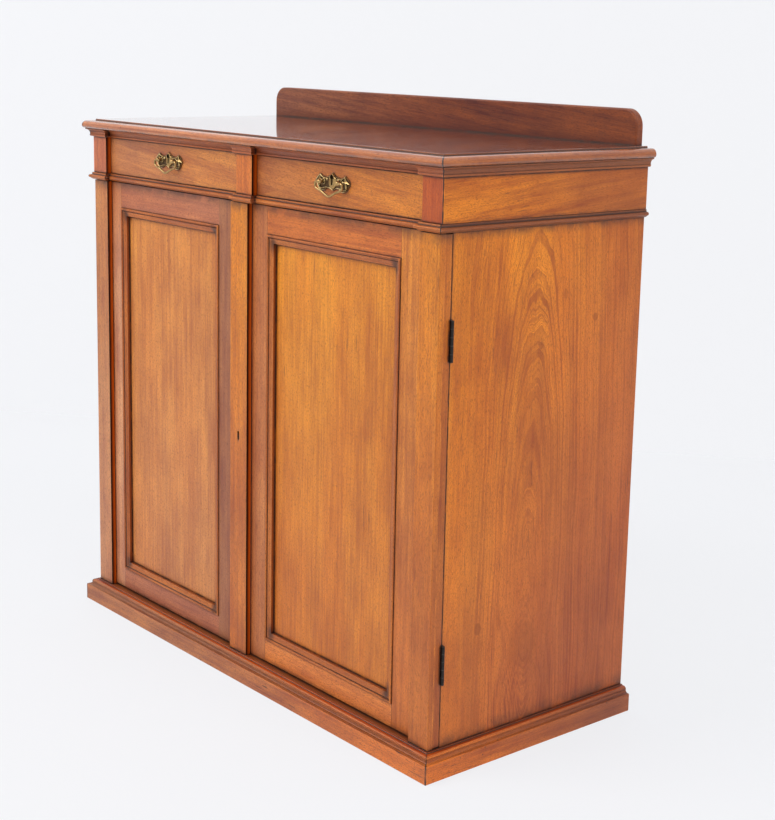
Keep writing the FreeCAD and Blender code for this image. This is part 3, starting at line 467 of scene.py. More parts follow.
    # painted shade and old wax: darker in the creases and quirks that the occlusion finds; knocks share its
    # colour
    wax = times(tree, band(tree, crevice(tree, 0.0045, samples=8), 0.06, 0.32),
               band(tree, cloud, 0.36, 0.56, 0.45, 0.95))
    wax = times(tree, wax, band(tree, height, 0.004, 0.014))
    ledgeGrimeAndShade = times(tree, grimeAndShadeNear(tree, place, height, look.get("ledgeGrimeAndShade", ())), 0.65)
    wax = calc(tree, "MAXIMUM", wax, ledgeGrimeAndShade)
    skin = darkenWith(tree, skin, calc(tree, "MAXIMUM", wax, marks), "wax")
    feed(tree, shader.inputs["Base Color"], skin)
    polish = look.get("polish", 0.0)
    rough = 0.62 if bare else 0.36 - 0.26 * polish
    feed(tree, shader.inputs["Roughness"],
         band(tree, figure.outputs["Streak"], 0.2, 0.8, rough, rough * 1.25))
    feed(tree, shader.inputs["Normal"], bump(tree, figure.outputs["Height"], 0.0003, 0.3 - 0.14 * polish))
    shader.inputs["Specular IOR Level"].default_value = 0.42
    shader.inputs["Coat Weight"].default_value = polish
    shader.inputs["Coat Roughness"].default_value = 0.04
    woods[key] = material
    return material


def metalMaterial(name, look):
    material, tree, shader = newMaterial(name)
    clean, rubbed, sunk = [colour(*look[kind]) for kind in ("clean", "rubbed", "sunk")]
    roughness = look["roughness"]
    place = onPiece(tree)
    cloud = noise(tree, place, (180, 180, 180), 4.0, 0.65)
    speck = noise(tree, place, (1600, 1600, 1600), 2.0)
    tarnish = calc(tree, "ADD", band(tree, cloud, 0.45, 0.75, 0.0, 0.55),
                   band(tree, crevice(tree, 0.004), *look.get("hollows", (0.15, 0.7))))
    tarnish.node.use_clamp = True
    skin = blend(tree, tarnish, clean, sunk)
    wearAndHighlight = band(tree, crevice(tree, 0.0012, True), 0.3, 0.6, 0.0, 0.8)  # bright on the edges, where hands rub the brass, with a painted highlight
    feed(tree, shader.inputs["Base Color"], blend(tree, wearAndHighlight, skin, rubbed))
    feed(tree, shader.inputs["Roughness"], band(tree, tarnish, 0.0, 1.0, roughness, roughness + 0.25))
    feed(tree, shader.inputs["Normal"], bump(tree, speck, 0.0002, 0.25))
    shader.inputs["Metallic"].default_value = look["metallic"]
    return material


# rubbed is the colour of the bright edges: brass rubbed by hands, with a painted highlight
metalLooks = {
    "antiqueBrass": {"clean": (196, 160, 104), "rubbed": (240, 214, 156), "sunk": (40, 30, 22),
                     "roughness": 0.36, "metallic": 1.0, "hollows": (0.06, 0.5)},
    "bailBrass": {"clean": (190, 156, 102), "rubbed": (232, 206, 148), "sunk": (44, 33, 24),
                  "roughness": 0.28, "metallic": 1.0},
    "sunkBrass": {"clean": (104, 80, 54), "rubbed": (156, 130, 86), "sunk": (32, 22, 16), "roughness": 0.55,
                  "metallic": 0.8},
    "darkSteel": {"clean": (50, 47, 45), "rubbed": (104, 100, 96), "sunk": (20, 16, 14), "roughness": 0.45,
                  "metallic": 0.8},
    "slotShadow": {"clean": (30, 26, 22), "rubbed": (44, 38, 32), "sunk": (12, 10, 8), "roughness": 0.7,
                   "metallic": 0.6},
}
brass, bailBrass, sunkBrass, steel, black = [metalMaterial(name, look) for name, look in metalLooks.items()]
paintedReturnShade = paintedReturnShadeMaterial()
print("materials made")

# tone, grain and cut of each board; "run" lets each loose length follow its own direction
boards = {
    "left_panel": ("leftPanel", "z", "quiet"), "right_panel": ("rightPanel", "z", "quiet"),
    "left_hinge_stile": ("leftStile", "z", "ribbon"), "left_meeting_stile": ("greyStile", "z", "ribbon"),
    "right_hinge_stile": ("warmStile", "z", "ribbon"), "right_meeting_stile": ("meetingStile", "z", "ribbon"),
    "left_top_rail": ("leftRail", "x", "ribbon"), "left_bottom_rail": ("leftRail", "x", "ribbon"),
    "right_top_rail": ("rail", "x", "ribbon"), "right_bottom_rail": ("footRail", "x", "ribbon"),
    "left_pilaster": ("leftPilaster", "z", "ribbon"), "centre_pilaster": ("pilaster", "z", "ribbon"),
    "right_pilaster": ("pilaster", "z", "ribbon"),
    "left_panel_moulding": ("moulding", "run", "ribbon"),
    "right_panel_moulding": ("moulding", "run", "ribbon"),
    "waist_moulding": ("waist", "run", "ribbon"), "cornice_moulding": ("cornice", "run", "plain"),
    "frieze_blocks": (("leftBlock", "middleBlock", "rightBlock"), "z", "plain"),
    "frieze_sides": ("friezeSide", "y", "flame"),
    "drawer_left_front": ("leftDrawer", "x", "flame"), "drawer_right_front": ("drawer", "x", "flame"),
    "side_left": ("side", "z", "farCrown"), "side_right": ("side", "z", "crown"),
    "plinth_front": ("plinth", "x", "ribbon"), "plinth_sides": ("plinthSide", "y", "ribbon"),
    "top_board": ("topEdge", "x", "ribbon"), "gallery_board": ("gallery", "x", "flame"),
    "drawer_rail": ("innerRail", "x", "ribbon"), "top_rail": ("innerRail", "x", "ribbon"),
    "base_rail": ("innerRail", "x", "ribbon"),
    "bottom_board": ("bareDeal", "x", "deal"), "dust_board": ("bareDeal", "x", "deal"),
    "shelf": ("bareDeal", "x", "deal"), "drawer_divider": ("bareDeal", "y", "deal"),
    "drawer_guides": ("bareDeal", "run", "deal"), "shelf_bearers": ("bareDeal", "y", "deal"),
    "back_boards": ("bareDeal", "z", "deal"), "plinth_back": ("bareDeal", "x", "deal"),
    "glue_blocks": ("bareDeal", "z", "deal"), "drawer_left_bottom": ("bareDeal", "x", "deal"),
    "drawer_left_sides_and_back": ("bareDeal", "run", "deal"),
    "drawer_right_bottom": ("bareDeal", "x", "deal"),
    "drawer_right_sides_and_back": ("bareDeal", "run", "deal"),
}
edges = {"soft": 0.0009, "wax": 0.0011, "joint": 0.00002, "shortest": 0.012, "sharpDegrees": 40,
         "hollowDegrees": 30, "smoothDegrees": 32, "caseEnd": 0.4995, "doorFace": -0.201, "flush": 0.0004,
         "ledge": 0.004, "field": 0.0002}  # all in metres, apart from the angles
hollowWaxAndShadePieces = ("left_panel_moulding", "right_panel_moulding", "waist_moulding", "cornice_moulding", "top_board",
         "plinth_front", "plinth_sides")
mitreAxis = {"waist_moulding": 2, "cornice_moulding": 2, "left_panel_moulding": 1, "right_panel_moulding": 1}
gentle = {"bottom_board": 0.0003, "right_meeting_stile": 0.0003, "drawer_left_sides_and_back": 0,
          "drawer_right_sides_and_back": 0}  # thin walls beside a mortise or a housing
bodyOf = {}
for bodyName, nodeNames in frame["record"]["behaviour"]["bodies"].items():
    for nodeName in nodeNames:
        bodyOf[nodeName] = bodyName


def deselect():
    for item in bpy.context.selected_objects:
        item.select_set(False)


def pick(piece):
    deselect()
    bpy.context.view_layer.objects.active = piece
    piece.select_set(True)


def ownCopy(source, name):
    piece = source.copy()
    piece.data = source.data.copy()
    piece.name = name
    bpy.context.scene.collection.objects.link(piece)
    return piece


def edited(piece, kind):
    mesh = bmesh.from_edit_mesh(piece.data)
    yield from getattr(mesh, kind)
    bmesh.update_edit_mesh(piece.data)


def partMitres(piece, level):
    mesh = bmesh.from_edit_mesh(piece.data)
    spot = lambda vert: tuple(round(value * 1000000) for value in vert.co)
    joints = {}
    moves = []
    for face in mesh.faces:
        if isMitre(face) and abs(face.normal[level]) < 0.02:
            for vert in face.verts:
                joints[spot(vert)] = face.normal.copy()
    for island in islandsOf(mesh):
        verts = {vert for face in island for vert in face.verts}
        middle = sum((vert.co for vert in verts), island[0].normal * 0) / len(verts)
        cap = isMitre(island[0]) and abs(island[0].normal[level]) < 0.02
        for vert in verts:
            across = joints.get(spot(vert))
            if across is None:
                continue
            inward = -island[0].normal if cap else across * math.copysign(1, (middle - vert.co).dot(across))
            moves.append((vert, inward * edges["joint"]))
    for vert, move in moves:
        vert.co += move  # a hair's breadth, so that two lengths don't merge
    bmesh.update_edit_mesh(piece.data)


def copyNode(node, name):
    piece = ownCopy(frame["nodes"][node], name)
    pick(piece)
    bpy.ops.object.mode_set(mode="EDIT")
    bpy.ops.mesh.select_mode(type="EDGE")
    bpy.ops.mesh.select_all(action="SELECT")
    if node in mitreAxis:
        partMitres(piece, mitreAxis[node])
    bpy.ops.mesh.remove_doubles(threshold=0.00001)
    bpy.ops.mesh.dissolve_limited(angle_limit=math.radians(0.4))
    bpy.ops.mesh.select_all(action="DESELECT")
    return piece


def isMitre(face):
    parts = sorted(abs(value) for value in face.normal)
    return parts[0] < 0.02 and parts[2] - parts[1] < 0.02


def chooseEdges(piece, hollow):
    bpy.ops.mesh.select_all(action="DESELECT")
    mesh = bmesh.from_edit_mesh(piece.data)
    chosen = 0
    for edge in mesh.edges:
        if not edge.is_manifold or edge.calc_length() < edges["shortest"]:
            continue
        turn = math.degrees(edge.calc_face_angle_signed(0))
        sharp = turn < -edges["hollowDegrees"] if hollow else turn > edges["sharpDegrees"]
        ends = [vert.co for vert in edge.verts]
        flush = all(abs(end.x) > edges["caseEnd"] and abs(end.y - edges["doorFace"]) < edges["flush"]
                    for end in ends)  # door edge, one surface with the pilaster
        if sharp and not flush and not any(isMitre(face) for face in edge.link_faces):
            edge.select_set(True)
            chosen += 1
    bmesh.update_edit_mesh(piece.data)
    return chosen


def softenEdges(piece, width):
    if width and chooseEdges(piece, False):
        bpy.ops.mesh.bevel(offset=width, segments=2, profile=0.5, affect="EDGES", clamp_overlap=True)


def paintHollowWaxAndShade(piece, cut):
    # a narrow bevel in each hollow edge gets the dark hollowWaxAndShade tone: old wax, and painted shade in
    # the hollow
    piece.data.materials.append(woodMaterial("hollowWaxAndShade", "x", cut))
    if chooseEdges(piece, True):
        bpy.ops.mesh.bevel(offset=edges["wax"], segments=2, profile=0.5, affect="EDGES", clamp_overlap=True,
                           material=len(piece.data.materials) - 1)


def finishPiece(piece, node):
    bpy.ops.object.mode_set(mode="OBJECT")
    bpy.ops.object.shade_smooth_by_angle(angle=math.radians(edges["smoothDegrees"]))
    bpy.ops.object.modifier_add(type="WEIGHTED_NORMAL")  # keeps broad faces flat beside their soft edges
    piece.modifiers[-1].keep_sharp = True
    bpy.ops.object.modifier_apply(modifier=piece.modifiers[-1].name)
    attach(piece, bodyOf[node])
    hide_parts(node)


def islandsOf(mesh):
    left = set(mesh.faces)
    while left:
        island = []
        waiting = [left.pop()]
        while waiting:
            face = waiting.pop()
            island.append(face)
            for edge in face.edges:
                for other in edge.link_faces:
                    if other in left:
                        left.remove(other)
                        waiting.append(other)
        yield island


def grainByRun(piece, tone, cut):
    for grain in "xyz":
        kind = tone + "Side" if grain == "y" and tone + "Side" in tones else tone
        piece.data.materials.append(woodMaterial(kind, grain, cut))
    mesh = bmesh.from_edit_mesh(piece.data)
    for island in islandsOf(mesh):
        places = [vert.co for face in island for vert in face.verts]
        spans = [max(p[i] for p in places) - min(p[i] for p in places) for i in range(3)]
        for face in island:
            face.material_index = spans.index(max(spans))
    bmesh.update_edit_mesh(piece.data)


def tonesFromLeft(piece, names, grain, cut):
    for tone in names:
        piece.data.materials.append(woodMaterial(tone, grain, cut))
    mesh = bmesh.from_edit_mesh(piece.data)
    islands = sorted(islandsOf(mesh), key=lambda island: island[0].verts[0].co.x)
    for index, island in enumerate(islands):
        for face in island:
            face.material_index = index
    bmesh.update_edit_mesh(piece.data)


def markReturns(piece, node):
    if node != "frieze_blocks" and "pilaster" not in node and "hinge_stile" not in node:
        return
    # sideways faces inside the case get the painted shade and red glow of the returns; faces at the case's
    # ends get the door edge's tone
    piece.data.materials.append(paintedReturnShade)
    piece.data.materials.append(woodMaterial("doorEdge", "z", "ribbon"))
    last = len(piece.data.materials) - 1
    for face in edited(piece, "faces"):
        outside = abs(face.calc_center_median().x) > edges["caseEnd"]
        if abs(face.normal.x) < 0.9 or "hinge_stile" in node and not outside:
            continue
        if outside and node != "frieze_blocks":
            face.material_index = last
        elif not outside:
            face.material_index = last - 1


def shadeLedge(piece, grain, cut):
    # deep orange painted shade and glow on the top of the plinth's ledge
    piece.data.materials.append(woodMaterial("plinthLedgeShade", grain, cut))
    last = len(piece.data.materials) - 1
    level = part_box("plinth_front")[1][2] - edges["ledge"]
    for face in edited(piece, "faces"):
        if face.normal.z > 0.9 and face.calc_center_median().z > level:
            face.material_index = last


def polishField(piece, cut):
    piece.data.materials.append(woodMaterial("topField", "x", cut))
    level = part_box("top_board")[1][2] - edges["field"]
    for face in edited(piece, "faces"):
        if min(vert.co.z for vert in face.verts) > level:
            face.material_index = 1


for node, (tone, grain, cut) in boards.items():
    piece = copyNode(node, node + "Board")
    piece.data.materials.clear()
    if grain == "run":
        grainByRun(piece, tone, cut)
    elif isinstance(tone, tuple):
        tonesFromLeft(piece, tone, grain, cut)
    else:
        piece.data.materials.append(woodMaterial(tone, grain, cut))
    markReturns(piece, node)
    softenEdges(piece, gentle.get(node, edges["soft"]))
    if node == "top_board":
        polishField(piece, "flame")
    if node in ("plinth_front", "plinth_sides"):
        shadeLedge(piece, grain, cut)
    if node in hollowWaxAndShadePieces:
        paintHollowWaxAndShade(piece, cut)
    finishPiece(piece, node)
print("boards softened", len(boards))

# drop handles: u and v lie on the plate, in mm from the bail's pivot, and height stands out from its face
handle = {"pivot": 0.8986, "offset": -0.0075, "spread": 0.24, "face": -0.203, "standoff": 0.008,
          "rim": 0.0008, "sunk": 0.0009, "post": 23.4, "keyRise": 7.8, "keyRound": 4.0, "keyHalf": 2.1,
          "keyFoot": -4.4}
shieldHalf = ((0, 13.4), (3.4, 11.4), (6.6, 8.9), (9.4, 6.2), (10.6, 1.5), (9.2, -4.2), (5.2, -9.0),
              (0, -12.2))
shieldRise = ((0.0, 1.3), (0.1, 2.0), (0.3, 1.3), (0.55, 1.7), (0.8, 1.4), (0.94, 0.5), (1.0, -0.9))
shieldMiddle = (0.0, 2.0)
star = {"middle": (33.4, 1.4), "peak": 2.4, "tip": 0.5, "valley": -0.3,
        "tips": ((9.6, -1.8), (2.3, 2.4), (-2.0, 9.2), (-2.8, 2.4), (-6.8, 0.4), (-2.4, -2.6), (0.8, -9.4),
                 (2.3, -2.8))}
scrolls = {
    "upperScroll": {"path": ((17.6, 5.0), (21.6, 5.8), (25.6, 6.9), (29.0, 8.2), (31.2, 10.4)),
                    "eye": (14.0, 3.6), "from": 90, "turn": 430, "wide": 2.1},
    "lowerScroll": {"path": ((34.4, -9.8), (29.0, -11.2), (23.0, -10.2), (17.0, -8.4), (11.4, -8.8)),
                    "eye": (35.6, -5.4), "from": -60, "turn": 430, "wide": 2.6},
}
bailRoute = ((18.5, 0, 0), (34.3, 0, 4.0), (34.3, -10.4, 6.0), (19.0, -14.6, 14.0), (0, -23.2, 11.0))
bailRadius = 0.00175


def beginCircle(name, corners, radius, fill):
    deselect()
    bpy.ops.mesh.primitive_circle_add(vertices=corners, radius=radius, location=(0, 0, 0), fill_type=fill)
    piece = bpy.context.active_object
    piece.name = name
    bpy.ops.object.mode_set(mode="EDIT")
    return piece


def reachTo(outline, middle, angle):
    way = (math.cos(angle), math.sin(angle))
    best = 0.0
    for first, last in zip(outline, outline[1:] + outline[:1]):
        run = (last[0] - first[0], last[1] - first[1])
        cross = way[0] * run[1] - way[1] * run[0]
        if abs(cross) < 1e-9:
            continue
        gap = (first[0] - middle[0], first[1] - middle[1])
        share = (gap[0] * way[1] - gap[1] * way[0]) / cross
        if -1e-6 <= share <= 1 + 1e-6:
            best = max(best, (gap[0] * run[1] - gap[1] * run[0]) / cross)
    return best


def keyholeOutline():
    wide = handle["keyRound"]
    half = handle["keyHalf"]
    drop = math.asin(-math.sqrt(wide ** 2 - half ** 2) / wide)
    points = []
    for step in range(25):
        angle = drop + (math.pi - 2 * drop) * step / 24
        points.append((wide * math.cos(angle), handle["keyRise"] + wide * math.sin(angle)))
    return points + [(-half, handle["keyFoot"]), (half, handle["keyFoot"])]


def placeRing(piece, inner, outer, share, rise):
    for vert in edited(piece, "verts"):
        if not vert.select:
            continue
        angle = math.atan2(vert.co.y * 1000 - shieldMiddle[1], vert.co.x * 1000 - shieldMiddle[0])
        near = reachTo(inner, shieldMiddle, angle)
        away = near + (reachTo(outer, shieldMiddle, angle) - near) * share
        u = shieldMiddle[0] + away * math.cos(angle)
        keel = rise * (1 - 0.03 * abs(u)) if rise > 0 else rise  # highest along the middle
        vert.co = (u / 1000, (shieldMiddle[1] + away * math.sin(angle)) / 1000, keel / 1000)


def buildShield():
    outer = list(shieldHalf) + [(-u, v) for u, v in shieldHalf[-2:0:-1]]
    inner = keyholeOutline()
    piece = beginCircle("handleShield", 56, 0.003, "NOTHING")
    bpy.ops.transform.translate(value=(shieldMiddle[0] / 1000, shieldMiddle[1] / 1000, 0))
    placeRing(piece, inner, outer, 0.0, -1.8)
    for share, rise in shieldRise:
        bpy.ops.mesh.extrude_edges_move()
        placeRing(piece, inner, outer, share, rise)
    bpy.ops.mesh.select_all(action="SELECT")
    bpy.ops.mesh.normals_make_consistent(inside=False)
    bpy.ops.object.mode_set(mode="OBJECT")
    return piece


def buildStar():
    piece = beginCircle("handleStar", 8, 0.005, "TRIFAN")
    for vert in edited(piece, "verts"):
        if vert.co.length < 0.0001:
            vert.co = (0, 0, star["peak"] / 1000)
            continue
        index = round(math.degrees(math.atan2(vert.co.y, vert.co.x)) / 45) % 8
        tip = star["tips"][index]
        vert.co = (tip[0] / 1000, tip[1] / 1000, (star["valley"] if index % 2 else star["tip"]) / 1000)
    bpy.ops.mesh.subdivide(number_cuts=3, smoothness=0.25)
    bpy.ops.mesh.region_to_loop()
    bpy.ops.mesh.extrude_edges_move(TRANSFORM_OT_translate={"value": (0, 0, -0.0013)})
    bpy.ops.mesh.select_all(action="SELECT")
    bpy.ops.transform.translate(value=(star["middle"][0] / 1000, star["middle"][1] / 1000, 0))
    bpy.ops.mesh.normals_make_consistent(inside=False)
    bpy.ops.object.mode_set(mode="OBJECT")
    return piece


def sweptPiece(name, points, depth):
    line = bpy.data.curves.new(name, "CURVE")
    line.dimensions = "3D"
    line.bevel_depth = depth
    line.bevel_resolution = 4
    line.use_fill_caps = True
    line.resolution_u = 6
    spline = line.splines.new("NURBS")
    spline.points.add(len(points) - 1)
    for point, (u, v, rise, radius) in zip(spline.points, points):
        point.co = (u / 1000, v / 1000, rise / 1000, 1)
        point.radius = radius
    spline.order_u = 3
    spline.use_endpoint_u = True
    piece = bpy.data.objects.new(name, line)
    bpy.context.scene.collection.objects.link(piece)
    pick(piece)
    bpy.ops.object.convert(target="MESH")
    piece = bpy.context.active_object
    bpy.ops.object.mode_set(mode="EDIT")
    bpy.ops.mesh.select_all(action="SELECT")
    bpy.ops.mesh.remove_doubles(threshold=0.000001)  # joins the end caps
    bpy.ops.mesh.normals_make_consistent(inside=False)
    bpy.ops.object.mode_set(mode="OBJECT")
    return piece


def buildScroll(name):
    plan = scrolls[name]
    points = []
    steps = 14
    for step in range(steps):
        share = step / steps  # the eye unrolls into the scroll's arm
        angle = math.radians(plan["from"] + plan["turn"] * (1 - share) * (1 if name == "upperScroll" else -1))
        wide = 0.5 + (plan["wide"] - 0.5) * share
        points.append((plan["eye"][0] + wide * math.cos(angle), plan["eye"][1] + wide * math.sin(angle),
                       0.5 - 0.3 * share, 1.5 - 0.6 * share if step < 3 else 0.75 + 0.25 * share))
    for step, (u, v) in enumerate(plan["path"]):
        points.append((u, v, 0.1, 1.0 - 0.1 * step))
    return sweptPiece(name, points, 0.0008)


def buildRosette():
    piece = beginCircle("handleRosette", 20, 0.0052, "NGON")
    for index, vert in enumerate(edited(piece, "verts")):
        vert.co *= 0.84 if index % 2 else 1.0  # petals
        vert.co.z = -0.001
    bpy.ops.mesh.extrude_region_move(TRANSFORM_OT_translate={"value": (0, 0, 0.0014)})
    bpy.ops.mesh.inset(thickness=0.0007, depth=0.0006)
    bpy.ops.mesh.inset(thickness=0.0008, depth=-0.0005)
    bpy.ops.mesh.inset(thickness=0.0006, depth=0.0009)
    bpy.ops.mesh.select_all(action="SELECT")
    bpy.ops.transform.translate(value=(handle["post"] / 1000, 0, 0))
    bpy.ops.object.mode_set(mode="OBJECT")
    return piece


def joinPieces(pieces, name):
    deselect()
    for piece in pieces:
        piece.select_set(True)
    bpy.context.view_layer.objects.active = pieces[0]
    bpy.ops.object.join()
    pieces[0].name = name
    return pieces[0]


def applyPlace(piece):
    pick(piece)
    bpy.ops.object.transform_apply(location=True, rotation=True, scale=True)


def buildCasting():
    wing = joinPieces([buildStar(), *[buildScroll(name) for name in scrolls], buildRosette()], "casting")
    bpy.ops.object.modifier_add(type="MIRROR")
    wing.modifiers[-1].use_mirror_merge = False
    bpy.ops.object.modifier_apply(modifier=wing.modifiers[-1].name)
    casting = joinPieces([wing, buildShield()], "handleCasting")
    casting.data.materials.clear()
    casting.data.materials.append(brass)
    casting.data.materials.append(black)
    inner = keyholeOutline()
    for face in casting.data.polygons:  # the keyhole's own wall is in shadow
        u = face.center.x * 1000 - shieldMiddle[0]
        v = face.center.y * 1000 - shieldMiddle[1]
        if math.hypot(u, v) < reachTo(inner, shieldMiddle, math.atan2(v, u)) + 0.2:
            face.material_index = 1
    bpy.ops.object.shade_smooth_by_angle(angle=math.radians(24))
    return casting


def buildBail():
    corners = [(-u, v, bend) for u, v, bend in bailRoute] + list(bailRoute[-2::-1])
    points = [(*corners[0][:2], 0, 1.0)]
    for before, here, after in zip(corners, corners[1:], corners[2:]):
        back = (before[0] - here[0], before[1] - here[1])
        ahead = (after[0] - here[0], after[1] - here[1])
        sizes = (math.hypot(*back), math.hypot(*ahead))
        openAngle = math.acos((back[0] * ahead[0] + back[1] * ahead[1]) / (sizes[0] * sizes[1]))
        cut = here[2] / math.tan(openAngle / 2)
        inner = [back[i] / sizes[0] + ahead[i] / sizes[1] for i in (0, 1)]
        far = here[2] / math.sin(openAngle / 2) / math.hypot(*inner)
        middle = [here[i] + inner[i] * far for i in (0, 1)]  # the bend's own centre
        first = [here[i] + back[i] / sizes[0] * cut - middle[i] for i in (0, 1)]
        way = math.copysign(1, back[1] * ahead[0] - back[0] * ahead[1])
        for step in range(5):
            turn = way * (math.pi - openAngle) * step / 4
            points.append((middle[0] + first[0] * math.cos(turn) - first[1] * math.sin(turn),
                           middle[1] + first[0] * math.sin(turn) + first[1] * math.cos(turn), 0, 1.08))
    points.append((*corners[-1][:2], 0, 1.0))
    points[1] = (*points[1][:3], 1.0)
    points[-2] = (*points[-2][:3], 1.0)
    return sweptPiece("bail", points, bailRadius)


def hangHandle(side, way, casting, bail):
    place = (way * handle["spread"] + handle["offset"], handle["face"], handle["pivot"])
    node = "drawer_" + side + "_handle_plate"
    plate = copyNode(node, side + "HandlePlate")
    plate.data.materials.clear()
    plate.data.materials.append(brass)
    for face in edited(plate, "faces"):
        face.select_set(face.normal.y < -0.99 and abs(face.calc_center_median().y - handle["face"]) < 0.0001)
    bpy.ops.mesh.select_mode(type="FACE")
    bpy.ops.mesh.inset(thickness=handle["rim"], depth=-handle["sunk"])
    plate.data.materials.append(sunkBrass)
    for face in edited(plate, "faces"):
        face.material_index = 1 if face.select else 0
    finishPiece(plate, node)
    for source, name, lift in ((casting, "HandleCasting", 0.0), (bail, "HandleBail", handle["standoff"])):
        piece = ownCopy(source, side + name)
        piece.location = (place[0], place[1] - lift, place[2])
        piece.rotation_euler = (math.pi / 2, 0, 0)
        applyPlace(piece)
        if lift:
            bpy.ops.object.shade_smooth()
            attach(piece, side + "_bail")
            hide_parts("drawer_" + side + "_handle_bail")
        else:
            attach(piece, side + "_drawer")


handleCasting = buildCasting()
handleBail = buildBail()
handleBail.data.materials.append(bailBrass)
for side, way in (("left", -1), ("right", 1)):
    hangHandle(side, way, handleCasting, handleBail)
for pattern in (handleCasting, handleBail):
    bpy.data.objects.remove(pattern)
print("handles hung")

# screw heads and nails, flush with what they hold
screws = {"radius": 0.0032, "proud": 0.00018, "slot": 0.0004}
nails = {"radius": 0.0028, "proud": 0.0005}
hingeHeights = (0.1785, 0.685)
hingeRows = (-0.022, 0.0, 0.022)
screwSets = {
    "caseHingeScrews": {"body": "case", "turn": 1, "level": -0.1865, "size": 1.0,
                        "at": [(x, z + row) for x in (-0.492, 0.492) for z in hingeHeights
                               for row in hingeRows]},
    "leftHingeScrews": {"body": "left_door", "turn": -1, "level": -0.187, "size": 1.0,
                        "at": [(-0.492, z + row) for z in hingeHeights for row in hingeRows]},
    "rightHingeScrews": {"body": "right_door", "turn": -1, "level": -0.187, "size": 1.0,
                         "at": [(0.492, z + row) for z in hingeHeights for row in hingeRows]},
    "doorLockScrews": {"body": "left_door", "turn": -1, "level": -0.187, "size": 0.8,
                       "at": [(x, z) for x in (-0.026, 0.004) for z in (0.4275, 0.4615)]},
    "boltPlateScrews": {"body": "right_door", "turn": -1, "level": -0.1855, "size": 0.65,
                        "at": [(x, z) for x in (0.0249, 0.0396) for z in (0.069, 0.127, 0.775, 0.833)]},
    "leftLockScrews": {"body": "left_drawer", "turn": -1, "level": -0.181, "size": 0.7,
                       "at": [(x, z) for x in (-0.2625, -0.2325) for z in (0.892, 0.92)]},
    "rightLockScrews": {"body": "right_drawer", "turn": -1, "level": -0.181, "size": 0.7,
                        "at": [(x, z) for x in (0.2175, 0.2475) for z in (0.892, 0.92)]},
}
plankPitch = 0.16375
nailPlaces = [(-0.491 + index * plankPitch + inset, z) for index in range(6) for inset in (0.024, 0.139)
              for z in (0.03, 0.445, 0.928)]


def buildScrew():
    piece = beginCircle("screw", 24, screws["radius"], "NGON")
    bpy.ops.mesh.extrude_region_move(TRANSFORM_OT_translate={"value": (0, 0, screws["proud"])})
    bpy.ops.mesh.inset(thickness=0.0003, depth=0.00002)
    for side in (-1, 1):
        bpy.ops.mesh.select_all(action="SELECT")
        bpy.ops.mesh.bisect(plane_co=(side * screws["slot"], 0, 0), plane_no=(1, 0, 0))
    piece.data.materials.append(steel)
    piece.data.materials.append(black)
    bpy.ops.mesh.select_all(action="DESELECT")
    for face in edited(piece, "faces"):
        middle = face.calc_center_median()
        if face.normal.z > 0.9 and abs(middle.x) < screws["slot"] and middle.z > screws["proud"] / 2:
            face.select_set(True)
            face.material_index = 1
    bpy.ops.transform.translate(value=(0, 0, -0.8 * screws["proud"]))
    bpy.ops.object.mode_set(mode="OBJECT")
    return piece


def buildNail():
    piece = beginCircle("nail", 16, nails["radius"], "NGON")
    bpy.ops.mesh.extrude_region_move(TRANSFORM_OT_translate={"value": (0, 0, nails["proud"] / 2)})
    bpy.ops.mesh.inset(thickness=0.0007, depth=nails["proud"] / 3)
    bpy.ops.mesh.inset(thickness=0.0008, depth=nails["proud"] / 6)
    piece.data.materials.append(steel)
    bpy.ops.object.mode_set(mode="OBJECT")
    return piece


def driveIn(source, name, plan):
    copies = []
    for x, z in plan["at"]:
        piece = ownCopy(source, name)
        piece.location = (x, plan["level"], z)
        piece.rotation_euler = (plan["turn"] * math.pi / 2, 0, 0)
        piece.scale = (plan["size"],) * 3
        applyPlace(piece)
        copies.append(piece)
    whole = joinPieces(copies, name)
    bpy.ops.object.shade_smooth_by_angle(angle=math.radians(30))
    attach(whole, plan["body"])


screw = buildScrew()
for name, plan in screwSets.items():
    driveIn(screw, name, plan)
nail = buildNail()
driveIn(nail, "backNails", {"body": "case", "turn": -1, "level": 0.231, "size": 1.0, "at": nailPlaces})
for pattern in (screw, nail):
    bpy.data.objects.remove(pattern)
print("screws and nails driven")

metals = {
    "door_lock_bolt": brass, "drawer_left_lock_bolt": brass,
    "drawer_right_lock_bolt": brass, "bolt_plates": brass, "top_bolt": brass, "bottom_bolt": brass,
    "case_hinge_leaves": steel, "hinge_pins": steel, "left_hinge_leaves": steel, "right_hinge_leaves": steel,
    "door_lock": steel, "drawer_left_lock": steel, "drawer_right_lock": steel,
}
for node, metal in metals.items():
    part = frame["nodes"][node]
    part.data.materials.clear()
    part.data.materials.append(metal)
print("metal parts coloured", len(metals))

# room: a pale floor, a pale wall where the photograph has one, soft light
room = {"floorSize": 14.0, "wallAt": (-1.239, 1.095), "wallTurn": 39.9, "wallSize": (14.0, 6.0),
        "paint": (241, 242, 245), "own": 0.85, "world": 0.62}


